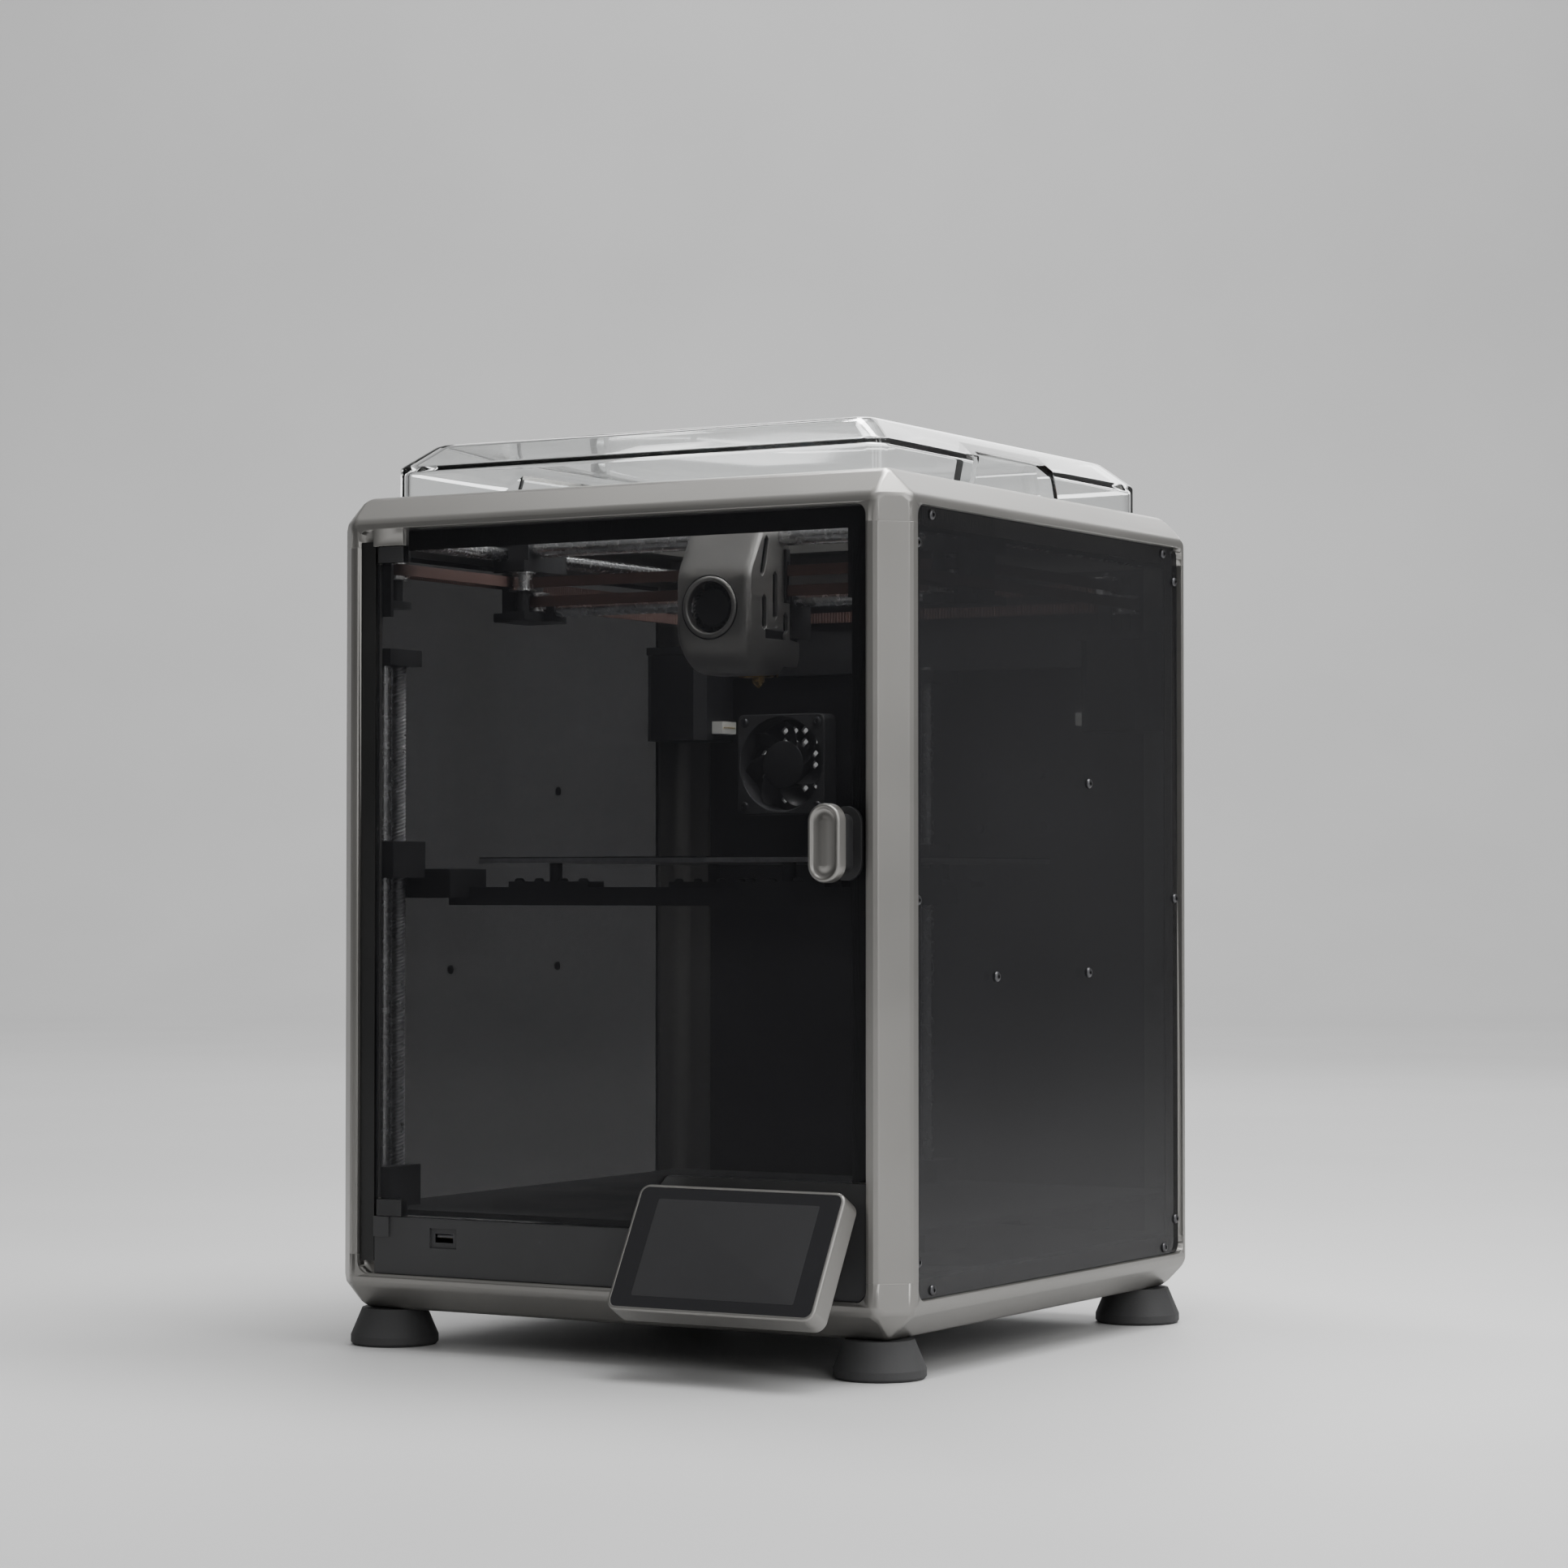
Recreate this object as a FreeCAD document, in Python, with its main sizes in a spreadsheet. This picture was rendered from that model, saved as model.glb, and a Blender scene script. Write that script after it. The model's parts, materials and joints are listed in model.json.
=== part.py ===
import FreeCAD, Part
import math
import os
import re
import Sketcher

# Enclosed core-XY desktop 3-D printer, in millimetres, +Z up, front towards -Y.
# The body's middle lies a little behind the origin, because the display leans out in front.
DIMENSIONS = {
    # body envelope and its openings
    "body_half": 177.5, "body_base": 20, "body_top": 462, "edge_cut": 14.8, "edge_round": 4,
    "core_half": 169.5, "core_round": 10, "floor_skin": 32, "roof_skin": 450, "core_inset": 3.4,
    "seam_low": 50.1, "seam_high": 433.5, "open_half": 158, "open_low": 40.1, "open_high": 443.2,
    "open_round": 6.5, "rebate_half": 171.5, "lip_half": 148, "roof_hole": 144, "base_hole": 140,
    # lengths that only make cuts and joins reach through, and the clearances between pieces
    "beyond": 200, "past": 5, "bite": 1, "gap": 0.3, "run_gap": 0.05,
    # panels
    "panel_face": 174.5, "cover_skin": 3, "cover_low": 21, "floor_level": 75, "floor_way": 6,
    "screw_head": 2.75, "screw_rise": 1.6, "dome_side": 2.64, "dome_step": 0.72, "dome_mid": 1.93,
    "dome_rise": 1.36, "dome_flat": 1.38, "screw_edge": 4.3, "screw_corner": 19.5, "screw_mid_z": 242.4,
    "grille_x": -87.5, "grille_z": 323.4, "grille_r": 22.4, "diamond": 2.6, "diamond_pitch": 7,
    "spool_pitch_x": 40, "spool_pitch_z": 32, "spool_hole": 2.1, "spool_x": 60, "spool_z": 300,
    "tube_hole": 3, "tube_x": -20, "tube_z": 405,
    # front fascia, trim, port
    "fascia_front": 175.3, "fascia_top": 71.3, "fascia_step": 99.7, "fascia_cut": 4.9, "notch_x": 34.4,
    "trim_x": 148.4, "boss_in": 138, "boss_front": 176.4, "boss_tall": 11, "pin_socket": 9,
    "port_x": -102.75, "port_z": 60.85, "port_wide": 5.85, "port_tall": 2.35, "port_depth": 14,
    "port_wall": 0.4, "tongue_wide": 5.35, "tongue_tall": 1.4, "tongue_drop": 0.6,
    "recess_wide": 8.75, "recess_tall": 5.3, "recess_depth": 1.2,
    # door
    "glass_front": 175.9, "glass_back": 171.9, "glass_left": 146.5, "glass_right": 157.6,
    "glass_low": 71.7, "glass_high": 442.6, "glass_round": 6, "notch_glass": 34, "notch_high": 100.2,
    "tab_x": 128.6, "tab_gap": 0.9, "hinge_x": 144.2, "hinge_y": 173.9, "hinge_r": 3, "hinge_in": 129.2,
    "hinge_tall": 8.6, "pin_r": 1.5, "pin_reach": 6,
    "grip_x": 146.7, "grip_z": 271, "grip_wide": 9.25, "grip_tall": 19.9, "grip_front": 201,
    "grip_back": 194, "grip_dish": 1.2, "grip_rim": 2.6, "grip_edge": 1,
    "pad_wide": 9.2, "pad_tall": 18.8, "pad_front": 178.4, "stem_wide": 4.4, "stem_tall": 15,
    # display
    "screen_x": 95.85, "screen_wide": 121.5, "screen_long": 70.3, "screen_thick": 15,
    "screen_front": 229, "screen_low": 36, "screen_lean": 60.2, "screen_round": 6,
    "screen_edge": 1.5, "screen_rim": 1.8, "screen_sink": 2.2, "glass_sink": 0.2, "bracket_half": 34,
    "bracket_start": 0.35, "bracket_end": 0.75, "bracket_low": 44.1, "bracket_high": 74.3,
    # feet
    "foot_x": 151.6, "foot_rim_r": 23.9, "foot_top_r": 17.7, "foot_rim": 5.2, "foot_bevel": 1.5,
    # lid
    "lid_half": 152.5, "lid_top": 492, "lid_skin": 3, "lid_round": 8, "lid_in": 15.6, "lid_drop": 13.5,
    "scoop_low": 50, "scoop_high": 42, "scoop_top": 482, "scoop_in": 10,
    # belts, pulleys and the rods along Y and X
    "belt_r": 6.05, "belt_thick": 1.4, "belt_half": 3, "level_a": 422, "level_b": 411,
    "corner_x": 147.5, "front_y": 158, "motor_y": 147.5, "inner_x": 134, "run_y": 48.1,
    "barrel_r": 6, "flange_r": 7.8, "flange_thick": 1, "idler_half": 5.3, "idler_bore": 2.55,
    "shaft_r": 2.5, "spacer_r": 3.9, "rod_y_x": 147, "rod_y_z": 438, "rod_y_r": 4,
    "rod_x_r": 5, "rod_high_y": 51, "rod_high_z": 440.5, "rod_high_end": 140,
    "rod_low_y": 37, "rod_low_z": 407.5, "rod_low_end": 126,
    # end carriages of the cross beam, front idler brackets
    "ride_out": 156, "ride_in": 128, "ride_front": 52, "ride_socket": 58, "ride_nose": 62, "ride_back": 19,
    "ride_top": 449, "ride_deck": 428, "ride_shelf": 400, "ride_shelf_top": 405, "ride_nose_x": 141.8,
    "nose_top": 434, "boss_half": 6, "boss_x": 121, "boss_foot": 402.4,
    "web_out": 151.5, "web_in": 143.2, "web_front": 50, "web_back": 24,
    "plate_low": 401, "plate_high": 432, "arm": 4, "holder_skin": 2.4, "holder_out": 162,
    "holder_in": 142.9, "holder_front": 168.8, "holder_back": 150, "holder_z": 396, "holder_top": 433,
    # motors and rear beam
    "motor_half": 21.15, "motor_low": 338, "motor_high": 390, "motor_cut": 6, "motor_shaft_top": 428,
    "beam_low": 377, "beam_high": 403, "beam_front": 157, "beam_back": 169, "beam_end": 125,
    "deck_low": 390.2, "deck_high": 395, "deck_in": 124, "shaft_way": 5, "post_top": 430,
    "z_motor_x": 70, "z_motor_y": 40, "z_motor_low": 47, "z_motor_high": 71, "z_shaft_top": 72,
    # print head
    "head_left": 11.5, "head_right": 35.2, "head_x": 11.85, "head_wall": 1.8, "head_round": 1.4,
    "head_front": 87.6, "head_bend": 12, "head_low": 365, "chin_y": 74.6, "chin_z": 384.8,
    "slope_y": 71.2, "slope_z": 420.5, "head_top": 448, "floor_end": 48,
    "cheek_back": 33.3, "cheek_low": 383.2, "cheek_mid": 43.6, "cheek_step": 384.5, "cheek_slim": 50.2,
    "cheek_slim_low": 404.3, "cheek_slim_high": 433.8, "cheek_hook": 44.5,
    "slot_half": 2.4, "slot_front_y": 71, "slot_front_low": 388.3, "slot_front_high": 408.2,
    "slot_tip_y": 73, "slot_tip_back": 68.4, "slot_tip_low": 417.5, "slot_tip_high": 440.3,
    "slot_mid_y": 59.5, "slot_mid_low": 394.1, "slot_mid_high": 421.4, "slot_rear_y": 48.2,
    "slot_rear_low": 387.2, "slot_rear_high": 399.8, "slot_base_front": 69.6, "slot_base_low": 384,
    "ring_x": 10.6, "ring_z": 400.6, "ring_r": 17.1, "ring_open": 14, "ring_proud": 1, "ring_deep": 4,
    "wheel_r": 13.2, "wheel_hub": 10.3, "wheel_front": 84.4, "wheel_back": 71.6,
    "core_left": 4.5, "core_right": 28.2, "core_front": 68, "core_back": 44, "core_top": 445.4,
    "trunk_left": 7.3, "trunk_right": 31, "trunk_front": 67.4, "trunk_low": 371, "trunk_top": 399,
    "rear_left": 1.5, "rear_right": 25.5, "rear_back": 28.5,
    "slide_left": 13, "slide_right": 36.7, "slide_front": 43.4, "slide_back": 23.3, "slide_neck": 29.5,
    "slide_low": 385.3, "slide_mid": 404, "slide_top": 413.3, "bearing_bore": 5.05,
    "grab_front": 50, "grab_back": 45.8, "grab_low": 404.5, "grab_high": 433.6,
    "way_front": 49.2, "way_back": 47, "way_low": 406, "way_high": 427, "feed_r": 2, "feed_low": 433.4,
    "nozzle_y": 38.1, "nozzle_tip": 358.7, "nozzle_top": 362.5, "nozzle_tip_r": 0.5, "nozzle_r": 3.6,
    "heater_low": 364.5, "heater_high": 373, "heater_x": 9, "heater_y": 6, "heater_gap": 1.5,
    "break_r": 3, "break_top": 375,
    # bed
    "bed_half": 117.5, "bed_y": -5.5, "bed_top": 264.7, "bed_thick": 2.6, "bed_round": 3,
    "sheet_thick": 0.7, "tab_half": 30, "tab_reach": 9, "frame_low": 239, "frame_high": 249,
    "frame_half": 140, "rail_x": 74, "rail_half": 8, "beam_y": 110, "back_y": 55,
    "slider_low": 254, "slider_top": 274, "slider_in": 143, "slider_out": 167, "slider_front": 166,
    "slider_back": 136, "arm_in": 126, "arm_out": 161, "arm_front": 136.5, "arm_low": 243, "arm_high": 259,
    "rear_arm_half": 12, "rear_arm_back": 162, "rear_arm_high": 256, "rear_slider_half": 24,
    "standoff_half": 26, "standoff_plate": 3, "standoff_r": 3.5,
    # height drive
    "screw_x": 155, "screw_y": 144.5, "screw_r": 4, "guide_y": 158, "guide_r": 4,
    "screw_low": 34, "screw_top": 376, "upper_low": 370, "upper_top": 379, "lower_top": 97,
    "rear_screw_y": 150, "rear_guide_x": 16, "rear_low_top": 88, "z_level": 40, "z_pulley_r": 8,
    "z_pulley_top": 46, "z_belt_half": 3, "screw_bore": 4.06, "loose": 4.3,
    "bracket_in": 145, "bracket_back": 137, "rear_bracket_half": 26, "rear_bracket_front": 140,
    # rear fan
    "fan_half": 30.5, "fan_front": 154.5, "fan_back": 169.4, "fan_wall": 1, "fan_open": 28, "fan_corner": 3,
    "fan_way_r": 9.3, "fan_way_at": 14, "hub_r": 14.5, "blade_r": 27, "rotor_gap": 2, "blade_thick": 1.2,
    "blade_share": 0.8,
    # mains inlet and rocker
    "inlet_x": 110, "inlet_z": 61, "inlet_half": 13.5, "inlet_tall": 10, "inlet_deep": 24, "inlet_lip": 2,
    "socket_tall": 7, "socket_deep": 16, "prong_half": 1, "prong_tall": 2, "prong_x": 7, "prong_drop": 2,
    "prong_lift": 3, "rocker_x": 60, "rocker_wide": 10, "rocker_tall": 7, "bezel_wide": 12,
    "bezel_tall": 9.5, "bezel_deep": 14, "well_wide": 10.3, "well_tall": 8.4, "well_deep": 10,
    "rocker_root": 5, "rocker_off": 0.6, "rocker_dip": 1, "rocker_on": 2.2, "rocker_heel": 3.4,
    # electronics
    "supply_x": -75, "supply_half": 55, "supply_front": 110, "supply_back": 60, "supply_top": 36,
    "board_x": 60, "board_y": -60, "board_half": 50, "board_low": 27, "board_top": 28.6, "chip_top": 31,
    "chip_half": 6, "chip_y": -73, "chip_pitch": 28, "peg_r": 2.5, "peg_at": 46,
}
BLOWER_BLADES = 24
FAN_BLADES = 7
FAN_LEAN = 35
QUARTER = 90
CLOSE = 1e-3
ROUGH_SIZE = 100

document = FreeCAD.newDocument("printer")
sheet = document.addObject("Spreadsheet::Sheet", "Dims")
for row, (alias, size) in enumerate(DIMENSIONS.items(), start=1):
    sheet.set(f"A{row}", alias)
    sheet.set(f"B{row}", str(size))
    sheet.setAlias(f"B{row}", alias)
document.recompute()

# The display's lowest front edge is rounded, so it reaches a little less far than its sharp corner.
REACH = "(screen_front - screen_edge * (sin(screen_lean) + cos(screen_lean) - 1))"
ORIGIN_SHIFT = f"({REACH} - body_half) / 2"
TURN = {
    "x": FreeCAD.Rotation(FreeCAD.Vector(0, 1, 0), QUARTER),
    "y": FreeCAD.Rotation(FreeCAD.Vector(1, 0, 0), -QUARTER),
    "z": FreeCAD.Rotation(),
}
SIDES = (("left", -1), ("right", 1))
nodes = []


def formula(text):
    """A sheet expression from words: every known size name gets the sheet's name in front."""
    def full(word):
        return f"Dims.{word.group()}" if word.group() in DIMENSIONS else word.group()
    return re.sub(r"[a-z][a-z0-9_]*", full, str(text))


def bind(thing, formulas):
    for prop, text in formulas.items():
        thing.setExpression(prop, formula(text))
    return thing


def move(thing, x="0", y="0", z="0"):
    return bind(thing, {"Placement.Base.x": x, "Placement.Base.y": y, "Placement.Base.z": z})


def span(side, near, far):
    """The stretch from near to far on one side of the middle plane, low end first."""
    return (near, far) if side > 0 else (f"-({far})", f"-({near})")


def around(middle, half):
    return (f"{middle} - ({half})", f"{middle} + ({half})")


# ---------------------------------------------------------------- primitives and booleans

def block(name, x, y, z):
    box = document.addObject("Part::Box", name)
    move(box, x[0], y[0], z[0])
    sizes = [f"({high}) - ({low})" for low, high in (x, y, z)]
    return bind(box, dict(zip(("Length", "Width", "Height"), sizes)))


def rod(name, radius, across, along, axis="z"):
    """A cylinder: its two cross coordinates in X, Y, Z order, and its stretch along the axis."""
    bar = document.addObject("Part::Cylinder", name)
    bar.Placement = FreeCAD.Placement(FreeCAD.Vector(), TURN[axis])
    at = list(across)
    at.insert("xyz".index(axis), along[0])
    move(bar, *at)
    return bind(bar, {"Radius": radius, "Height": f"({along[1]}) - ({along[0]})"})


def fuse(name, *parts):
    whole = document.addObject("Part::MultiFuse", name)
    whole.Shapes = list(parts)
    whole.Refine = True
    return whole


def cut(name, base, *tools):
    rest = document.addObject("Part::Cut", name)
    rest.Base = base
    rest.Tool = tools[0] if len(tools) == 1 else fuse(f"{name}_tools", *tools)
    return rest


def common(name, base, tool):
    overlap = document.addObject("Part::Common", name)
    overlap.Base = base
    overlap.Tool = tool
    return overlap


def node(label, *solids):
    """A sub-part: its separate solids, moved from the body's frame to the part's own frame."""
    whole = document.addObject("Part::Compound", f"{label}_part")
    whole.Links = list(solids)
    whole.Label = label
    move(whole, y=ORIGIN_SHIFT)
    nodes.append(whole)
    return whole


# ---------------------------------------------------------------- sketched bodies

def sketch(body, plane, points, level="0"):
    """A closed outline whose corners are each held by an X and a Y formula."""
    drawing = body.newObject("Sketcher::SketchObject", f"{body.Name}_outline")
    ground = next(item for item in body.Origin.OriginFeatures if item.Role == f"{plane}_Plane")
    drawing.AttachmentSupport = [(ground, "")]
    drawing.MapMode = "FlatFace"
    bind(drawing, {"AttachmentOffset.Base.z": level})
    count = len(points)
    turns = [2 * math.pi * step / count for step in range(count)]
    corners = [FreeCAD.Vector(math.cos(turn), math.sin(turn), 0) * ROUGH_SIZE for turn in turns]
    for step in range(count):
        drawing.addGeometry(Part.LineSegment(corners[step], corners[(step + 1) % count]))
    for step in range(count):
        drawing.addConstraint(Sketcher.Constraint("Coincident", step, 2, (step + 1) % count, 1))
    for step, (across, up) in enumerate(points):
        for kind, start, text in (("DistanceX", corners[step].x, across), ("DistanceY", corners[step].y, up)):
            index = drawing.addConstraint(Sketcher.Constraint(kind, -1, 1, step, 1, start))
            bind(drawing, {f"Constraints[{index}]": text})
    return drawing


def padded(name, plane, points, along):
    """An outline on one of the main planes, padded from along[0] to along[1]."""
    body = document.addObject("PartDesign::Body", name)
    flip = -1 if plane == "XZ" else 1
    drawing = sketch(body, plane, points, f"{flip} * ({along[0]})")
    pad = body.newObject("PartDesign::Pad", f"{name}_pad")
    pad.Profile = drawing
    pad.Reversed = plane == "XZ"
    bind(pad, {"Length": f"({along[1]}) - ({along[0]})"})
    document.recompute()
    return body


def rectangle(across, up):
    return [(across[0], up[0]), (across[1], up[0]), (across[1], up[1]), (across[0], up[1])]


def dress(body, kind, sizes, wanted):
    """A fillet or chamfer on the edges of the body's tip that are wanted."""
    base = body.Tip
    names = [f"Edge{place}" for place, edge in enumerate(base.Shape.Edges, start=1) if wanted(edge)]
    feature = body.newObject(f"PartDesign::{kind}", f"{body.Name}_{kind.lower()}")
    feature.Base = (base, names)
    if "Size2" in sizes:
        feature.ChamferType = "Two distances"
    bind(feature, sizes)
    document.recompute()
    return body


def runs_along(axis):
    """A test for straight edges that lie along one axis."""
    def wanted(edge):
        if edge.Curve.TypeId != "Part::GeomLine":
            return False
        return abs(abs(getattr(edge.Curve.Direction, axis)) - 1) < CLOSE
    return wanted


def every(edge):
    return True


def rounded(name, plane, across, up, along, radius):
    """A block with its four edges along the pad's direction rounded."""
    body = padded(name, plane, rectangle(across, up), along)
    axis = {"XY": "z", "XZ": "y", "YZ": "x"}[plane]
    return dress(body, "Fillet", {"Radius": radius}, runs_along(axis))


def turned(name, profile, at=("0", "0", "0"), axis="z"):
    """A half profile of radius and height, turned a full circle about an axis."""
    body = document.addObject("PartDesign::Body", name)
    drawing = sketch(body, "XZ", profile)
    lathe = body.newObject("PartDesign::Revolution", f"{name}_turned")
    lathe.Profile = drawing
    lathe.ReferenceAxis = (drawing, ["V_Axis"])
    lathe.Angle = 360
    body.Placement = FreeCAD.Placement(FreeCAD.Vector(), TURN[axis])
    move(body, *at)
    document.recompute()
    return body


# ---------------------------------------------------------------- frame

def body_shell():
    """The silver frame in one piece, before it is parted along its two seams."""
    ends = ("-body_half", "body_half")
    envelope = padded("envelope", "XY", rectangle(ends, ends), ("body_base", "body_top"))
    dress(envelope, "Chamfer", {"Size": "edge_cut"}, every)
    dress(envelope, "Fillet", {"Radius": "edge_round"}, every)
    core = ("-core_half", "core_half")
    hollow = rounded("hollow", "XY", core, core, ("floor_skin", "roof_skin"), "core_round")
    wide = ("-open_half", "open_half")
    tall = ("open_low", "open_high")
    inner = ("-lip_half", "lip_half")
    through = ("-beyond", "beyond")
    lip_tall = ("seam_low", "seam_high")
    tools = [hollow]
    for word, side in SIDES:
        depth = span(side, "rebate_half", "beyond")
        tools.append(rounded(f"side_rebate_{word}", "YZ", wide, tall, depth, "open_round"))
        tools.append(rounded(f"end_rebate_{word}", "XZ", wide, tall, depth, "open_round"))
    tools.append(block("side_way", through, inner, lip_tall))
    tools.append(block("end_way", inner, through, lip_tall))
    roof = ("-roof_hole", "roof_hole")
    base = ("-base_hole", "base_hole")
    tools.append(rounded("roof_way", "XY", roof, roof, ("roof_skin - past", "body_top + past"), "lid_round"))
    tools.append(block("base_way", base, base, ("body_base - past", "floor_skin + past")))
    return cut("shell", envelope, *tools)


def frame_nodes():
    shell = body_shell()
    through = ("-beyond", "beyond")
    upper = common("upper", shell, block("upper_zone", through, through, ("seam_high", "body_top + past")))
    tab = block("hinge_tab", ("-trim_x", "-tab_x"), ("-body_half", "-rebate_half"),
                ("seam_high + gap", "open_high"))
    pin_hole = rod("tab_hole", "pin_r + run_gap", ("-hinge_x", "-hinge_y"),
                   ("seam_high - bite", "open_high - bite"))
    node("top_frame", cut("top_ring", fuse("top_whole", upper, tab), pin_hole))
    low_zone = block("lower_zone", through, through, ("body_base - past", "seam_low"))
    node("bottom_frame", common("lower", shell, low_zone))
    for word, side in (("front", -1), ("rear", 1)):
        zone = block(f"{word}_zone", through, span(side, "0", "beyond"), ("seam_low", "seam_high"))
        node(f"{word}_posts", common(f"{word}_pair", shell, zone))


def diamond_grille(depth):
    """Square holes standing on a corner, laid out in a circle for the fan."""
    holes = []
    reach = DIMENSIONS["grille_r"] / DIMENSIONS["diamond_pitch"]
    steps = range(-math.floor(reach), math.floor(reach) + 1)
    for column in steps:
        for line in steps:
            if math.hypot(column, line) > reach:
                continue
            x = f"grille_x + {column} * diamond_pitch"
            z = f"grille_z + {line} * diamond_pitch"
            corners = [(f"{x} + diamond", z), (x, f"{z} + diamond"),
                       (f"{x} - diamond", z), (x, f"{z} - diamond")]
            holes.append(padded(f"diamond_{len(holes)}", "XZ", corners, depth))
    return holes


def panel_nodes():
    wide = around("0", "open_half - gap")
    tall = ("open_low + gap", "open_high - gap")
    for word, side in SIDES:
        depth = span(side, "rebate_half", "panel_face")
        panel = rounded(f"panel_{word}", "YZ", wide, tall, depth, "open_round - gap")
        node(f"side_panel_{word}", panel)
    depth = ("rebate_half", "panel_face")
    through = ("rebate_half - bite", "panel_face + bite")
    sheet_metal = rounded("panel_back", "XZ", wide, tall, depth, "open_round - gap")
    holes = diamond_grille(through)
    for across in (-1, 1):
        for up in (-1, 1):
            at = (f"spool_x + {across} * spool_pitch_x / 2", f"spool_z + {up} * spool_pitch_z / 2")
            holes.append(rod(f"spool_hole_{across + 1}_{up + 1}", "spool_hole", at, through, "y"))
    holes.append(rod("filament_hole", "tube_hole", ("tube_x", "tube_z"), through, "y"))
    holes.append(block("inlet_hole", around("inlet_x", "inlet_half + gap"), through,
                       around("inlet_z", "inlet_tall + gap")))
    holes.append(block("rocker_hole", around("rocker_x", "bezel_wide + gap"), through,
                       around("inlet_z", "bezel_tall + gap")))
    node("back_panel", cut("back_sheet", sheet_metal, *holes))
    node("chamber_floor", floor_plate())
    base = around("0", "base_hole - gap")
    node("base_cover", block("base_plate", base, base, ("cover_low", "cover_low + cover_skin")))


def floor_plate():
    """The deck over the electronics, with a free hole round each lead screw."""
    ends = around("0", "core_half - gap")
    deck = rounded("deck", "XY", ends, ends, ("floor_level - cover_skin", "floor_level"), "core_round")
    holes = []
    for word, x, y in screw_places():
        holes.append(rod(f"deck_hole_{word}", "floor_way", (x, y),
                         ("floor_level - past", "floor_level + past")))
    return cut("deck_plate", deck, *holes)


def screw_places():
    """Name, X and Y of the three lead screws."""
    return (
        ("front_left", "-screw_x", "-screw_y"),
        ("front_right", "screw_x", "-screw_y"),
        ("rear", "0", "rear_screw_y"),
    )


def dome(name, at, side):
    """A button-head screw whose head stands out of a side panel."""
    profile = [("0", "0"), ("screw_head", "0"), ("dome_side", "dome_step"), ("dome_mid", "dome_rise"),
               ("dome_flat", "screw_rise"), ("0", "screw_rise")]
    head = turned(name, profile, at, "x")
    if side < 0:
        head.Placement.Rotation = FreeCAD.Rotation(FreeCAD.Vector(0, 1, 0), -QUARTER)
    return head


def panel_screws():
    heads = []
    low = "open_low + screw_edge"
    high = "open_high - screw_edge"
    edge = "open_half - screw_edge"
    in_edge = "open_half - screw_corner"
    for word, side in SIDES:
        x = f"{side} * panel_face"
        places = []
        for end in (-1, 1):
            places.append((f"{end} * ({in_edge})", high))
            places.append((f"{end} * ({in_edge})", low))
            places.append((f"{end} * ({edge})", "open_high - screw_corner"))
            places.append((f"{end} * ({edge})", "open_low + screw_corner"))
            places.append((f"{end} * ({edge})", "screw_mid_z"))
        for number, (y, z) in enumerate(places):
            heads.append(dome(f"panel_screw_{word}_{number}", (x, y, z), side))
    node("panel_screws", *heads)


# ---------------------------------------------------------------- front

def front_nodes():
    back = "-rebate_half"
    front = "-fascia_front"
    corner = "fascia_cut"
    outline = [("-trim_x + gap", "open_low + gap"), (f"open_half - gap - {corner}", "open_low + gap"),
               ("open_half - gap", f"open_low + gap + {corner}"), ("open_half - gap", "fascia_step"),
               (f"notch_x + {corner}", "fascia_step"), ("notch_x", f"fascia_step - {corner}"),
               ("notch_x", "fascia_top"), ("-trim_x + gap", "fascia_top")]
    sheet_part = padded("fascia", "XZ", outline, (front, back))
    boss = block("hinge_boss", ("-trim_x + gap", "-boss_in"), ("-boss_front", back),
                 ("fascia_top - boss_tall", "fascia_top"))
    recess = block("port_recess", around("port_x", "recess_wide"),
                   (f"{front} - bite", f"{front} + recess_depth"), around("port_z", "recess_tall"))
    hole = block("port_hole", around("port_x", "port_wide + port_wall"), ("-beyond", "0"),
                 around("port_z", "port_tall + port_wall"))
    pin_hole = rod("boss_hole", "pin_r + run_gap", ("-hinge_x", "-hinge_y"),
                   ("fascia_top - pin_socket", "fascia_top + bite"))
    node("front_fascia", cut("fascia_open", fuse("fascia_whole", sheet_part, boss), recess, hole, pin_hole))
    node("door_trim", block("trim_strip", ("-open_half + gap", "-trim_x"), (front, back),
                            ("open_low + gap + open_round", "open_high - gap - open_round")))
    port_y = (f"{front} + recess_depth", f"{front} + recess_depth + port_depth")
    shell = block("port_shell", around("port_x", "port_wide + port_wall"), port_y,
                  around("port_z", "port_tall + port_wall"))
    mouth = block("port_mouth", around("port_x", "port_wide"),
                  (f"{port_y[0]} - bite", f"{port_y[1]} - bite"), around("port_z", "port_tall"))
    tongue_top = "port_z + port_tall - tongue_drop"
    tongue = block("port_tongue_bar", around("port_x", "tongue_wide"), (f"{port_y[0]} + bite", port_y[1]),
                   (f"{tongue_top} - tongue_tall", tongue_top))
    node("usb_port", fuse("port_whole", cut("port_can", shell, mouth), tongue))


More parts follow.
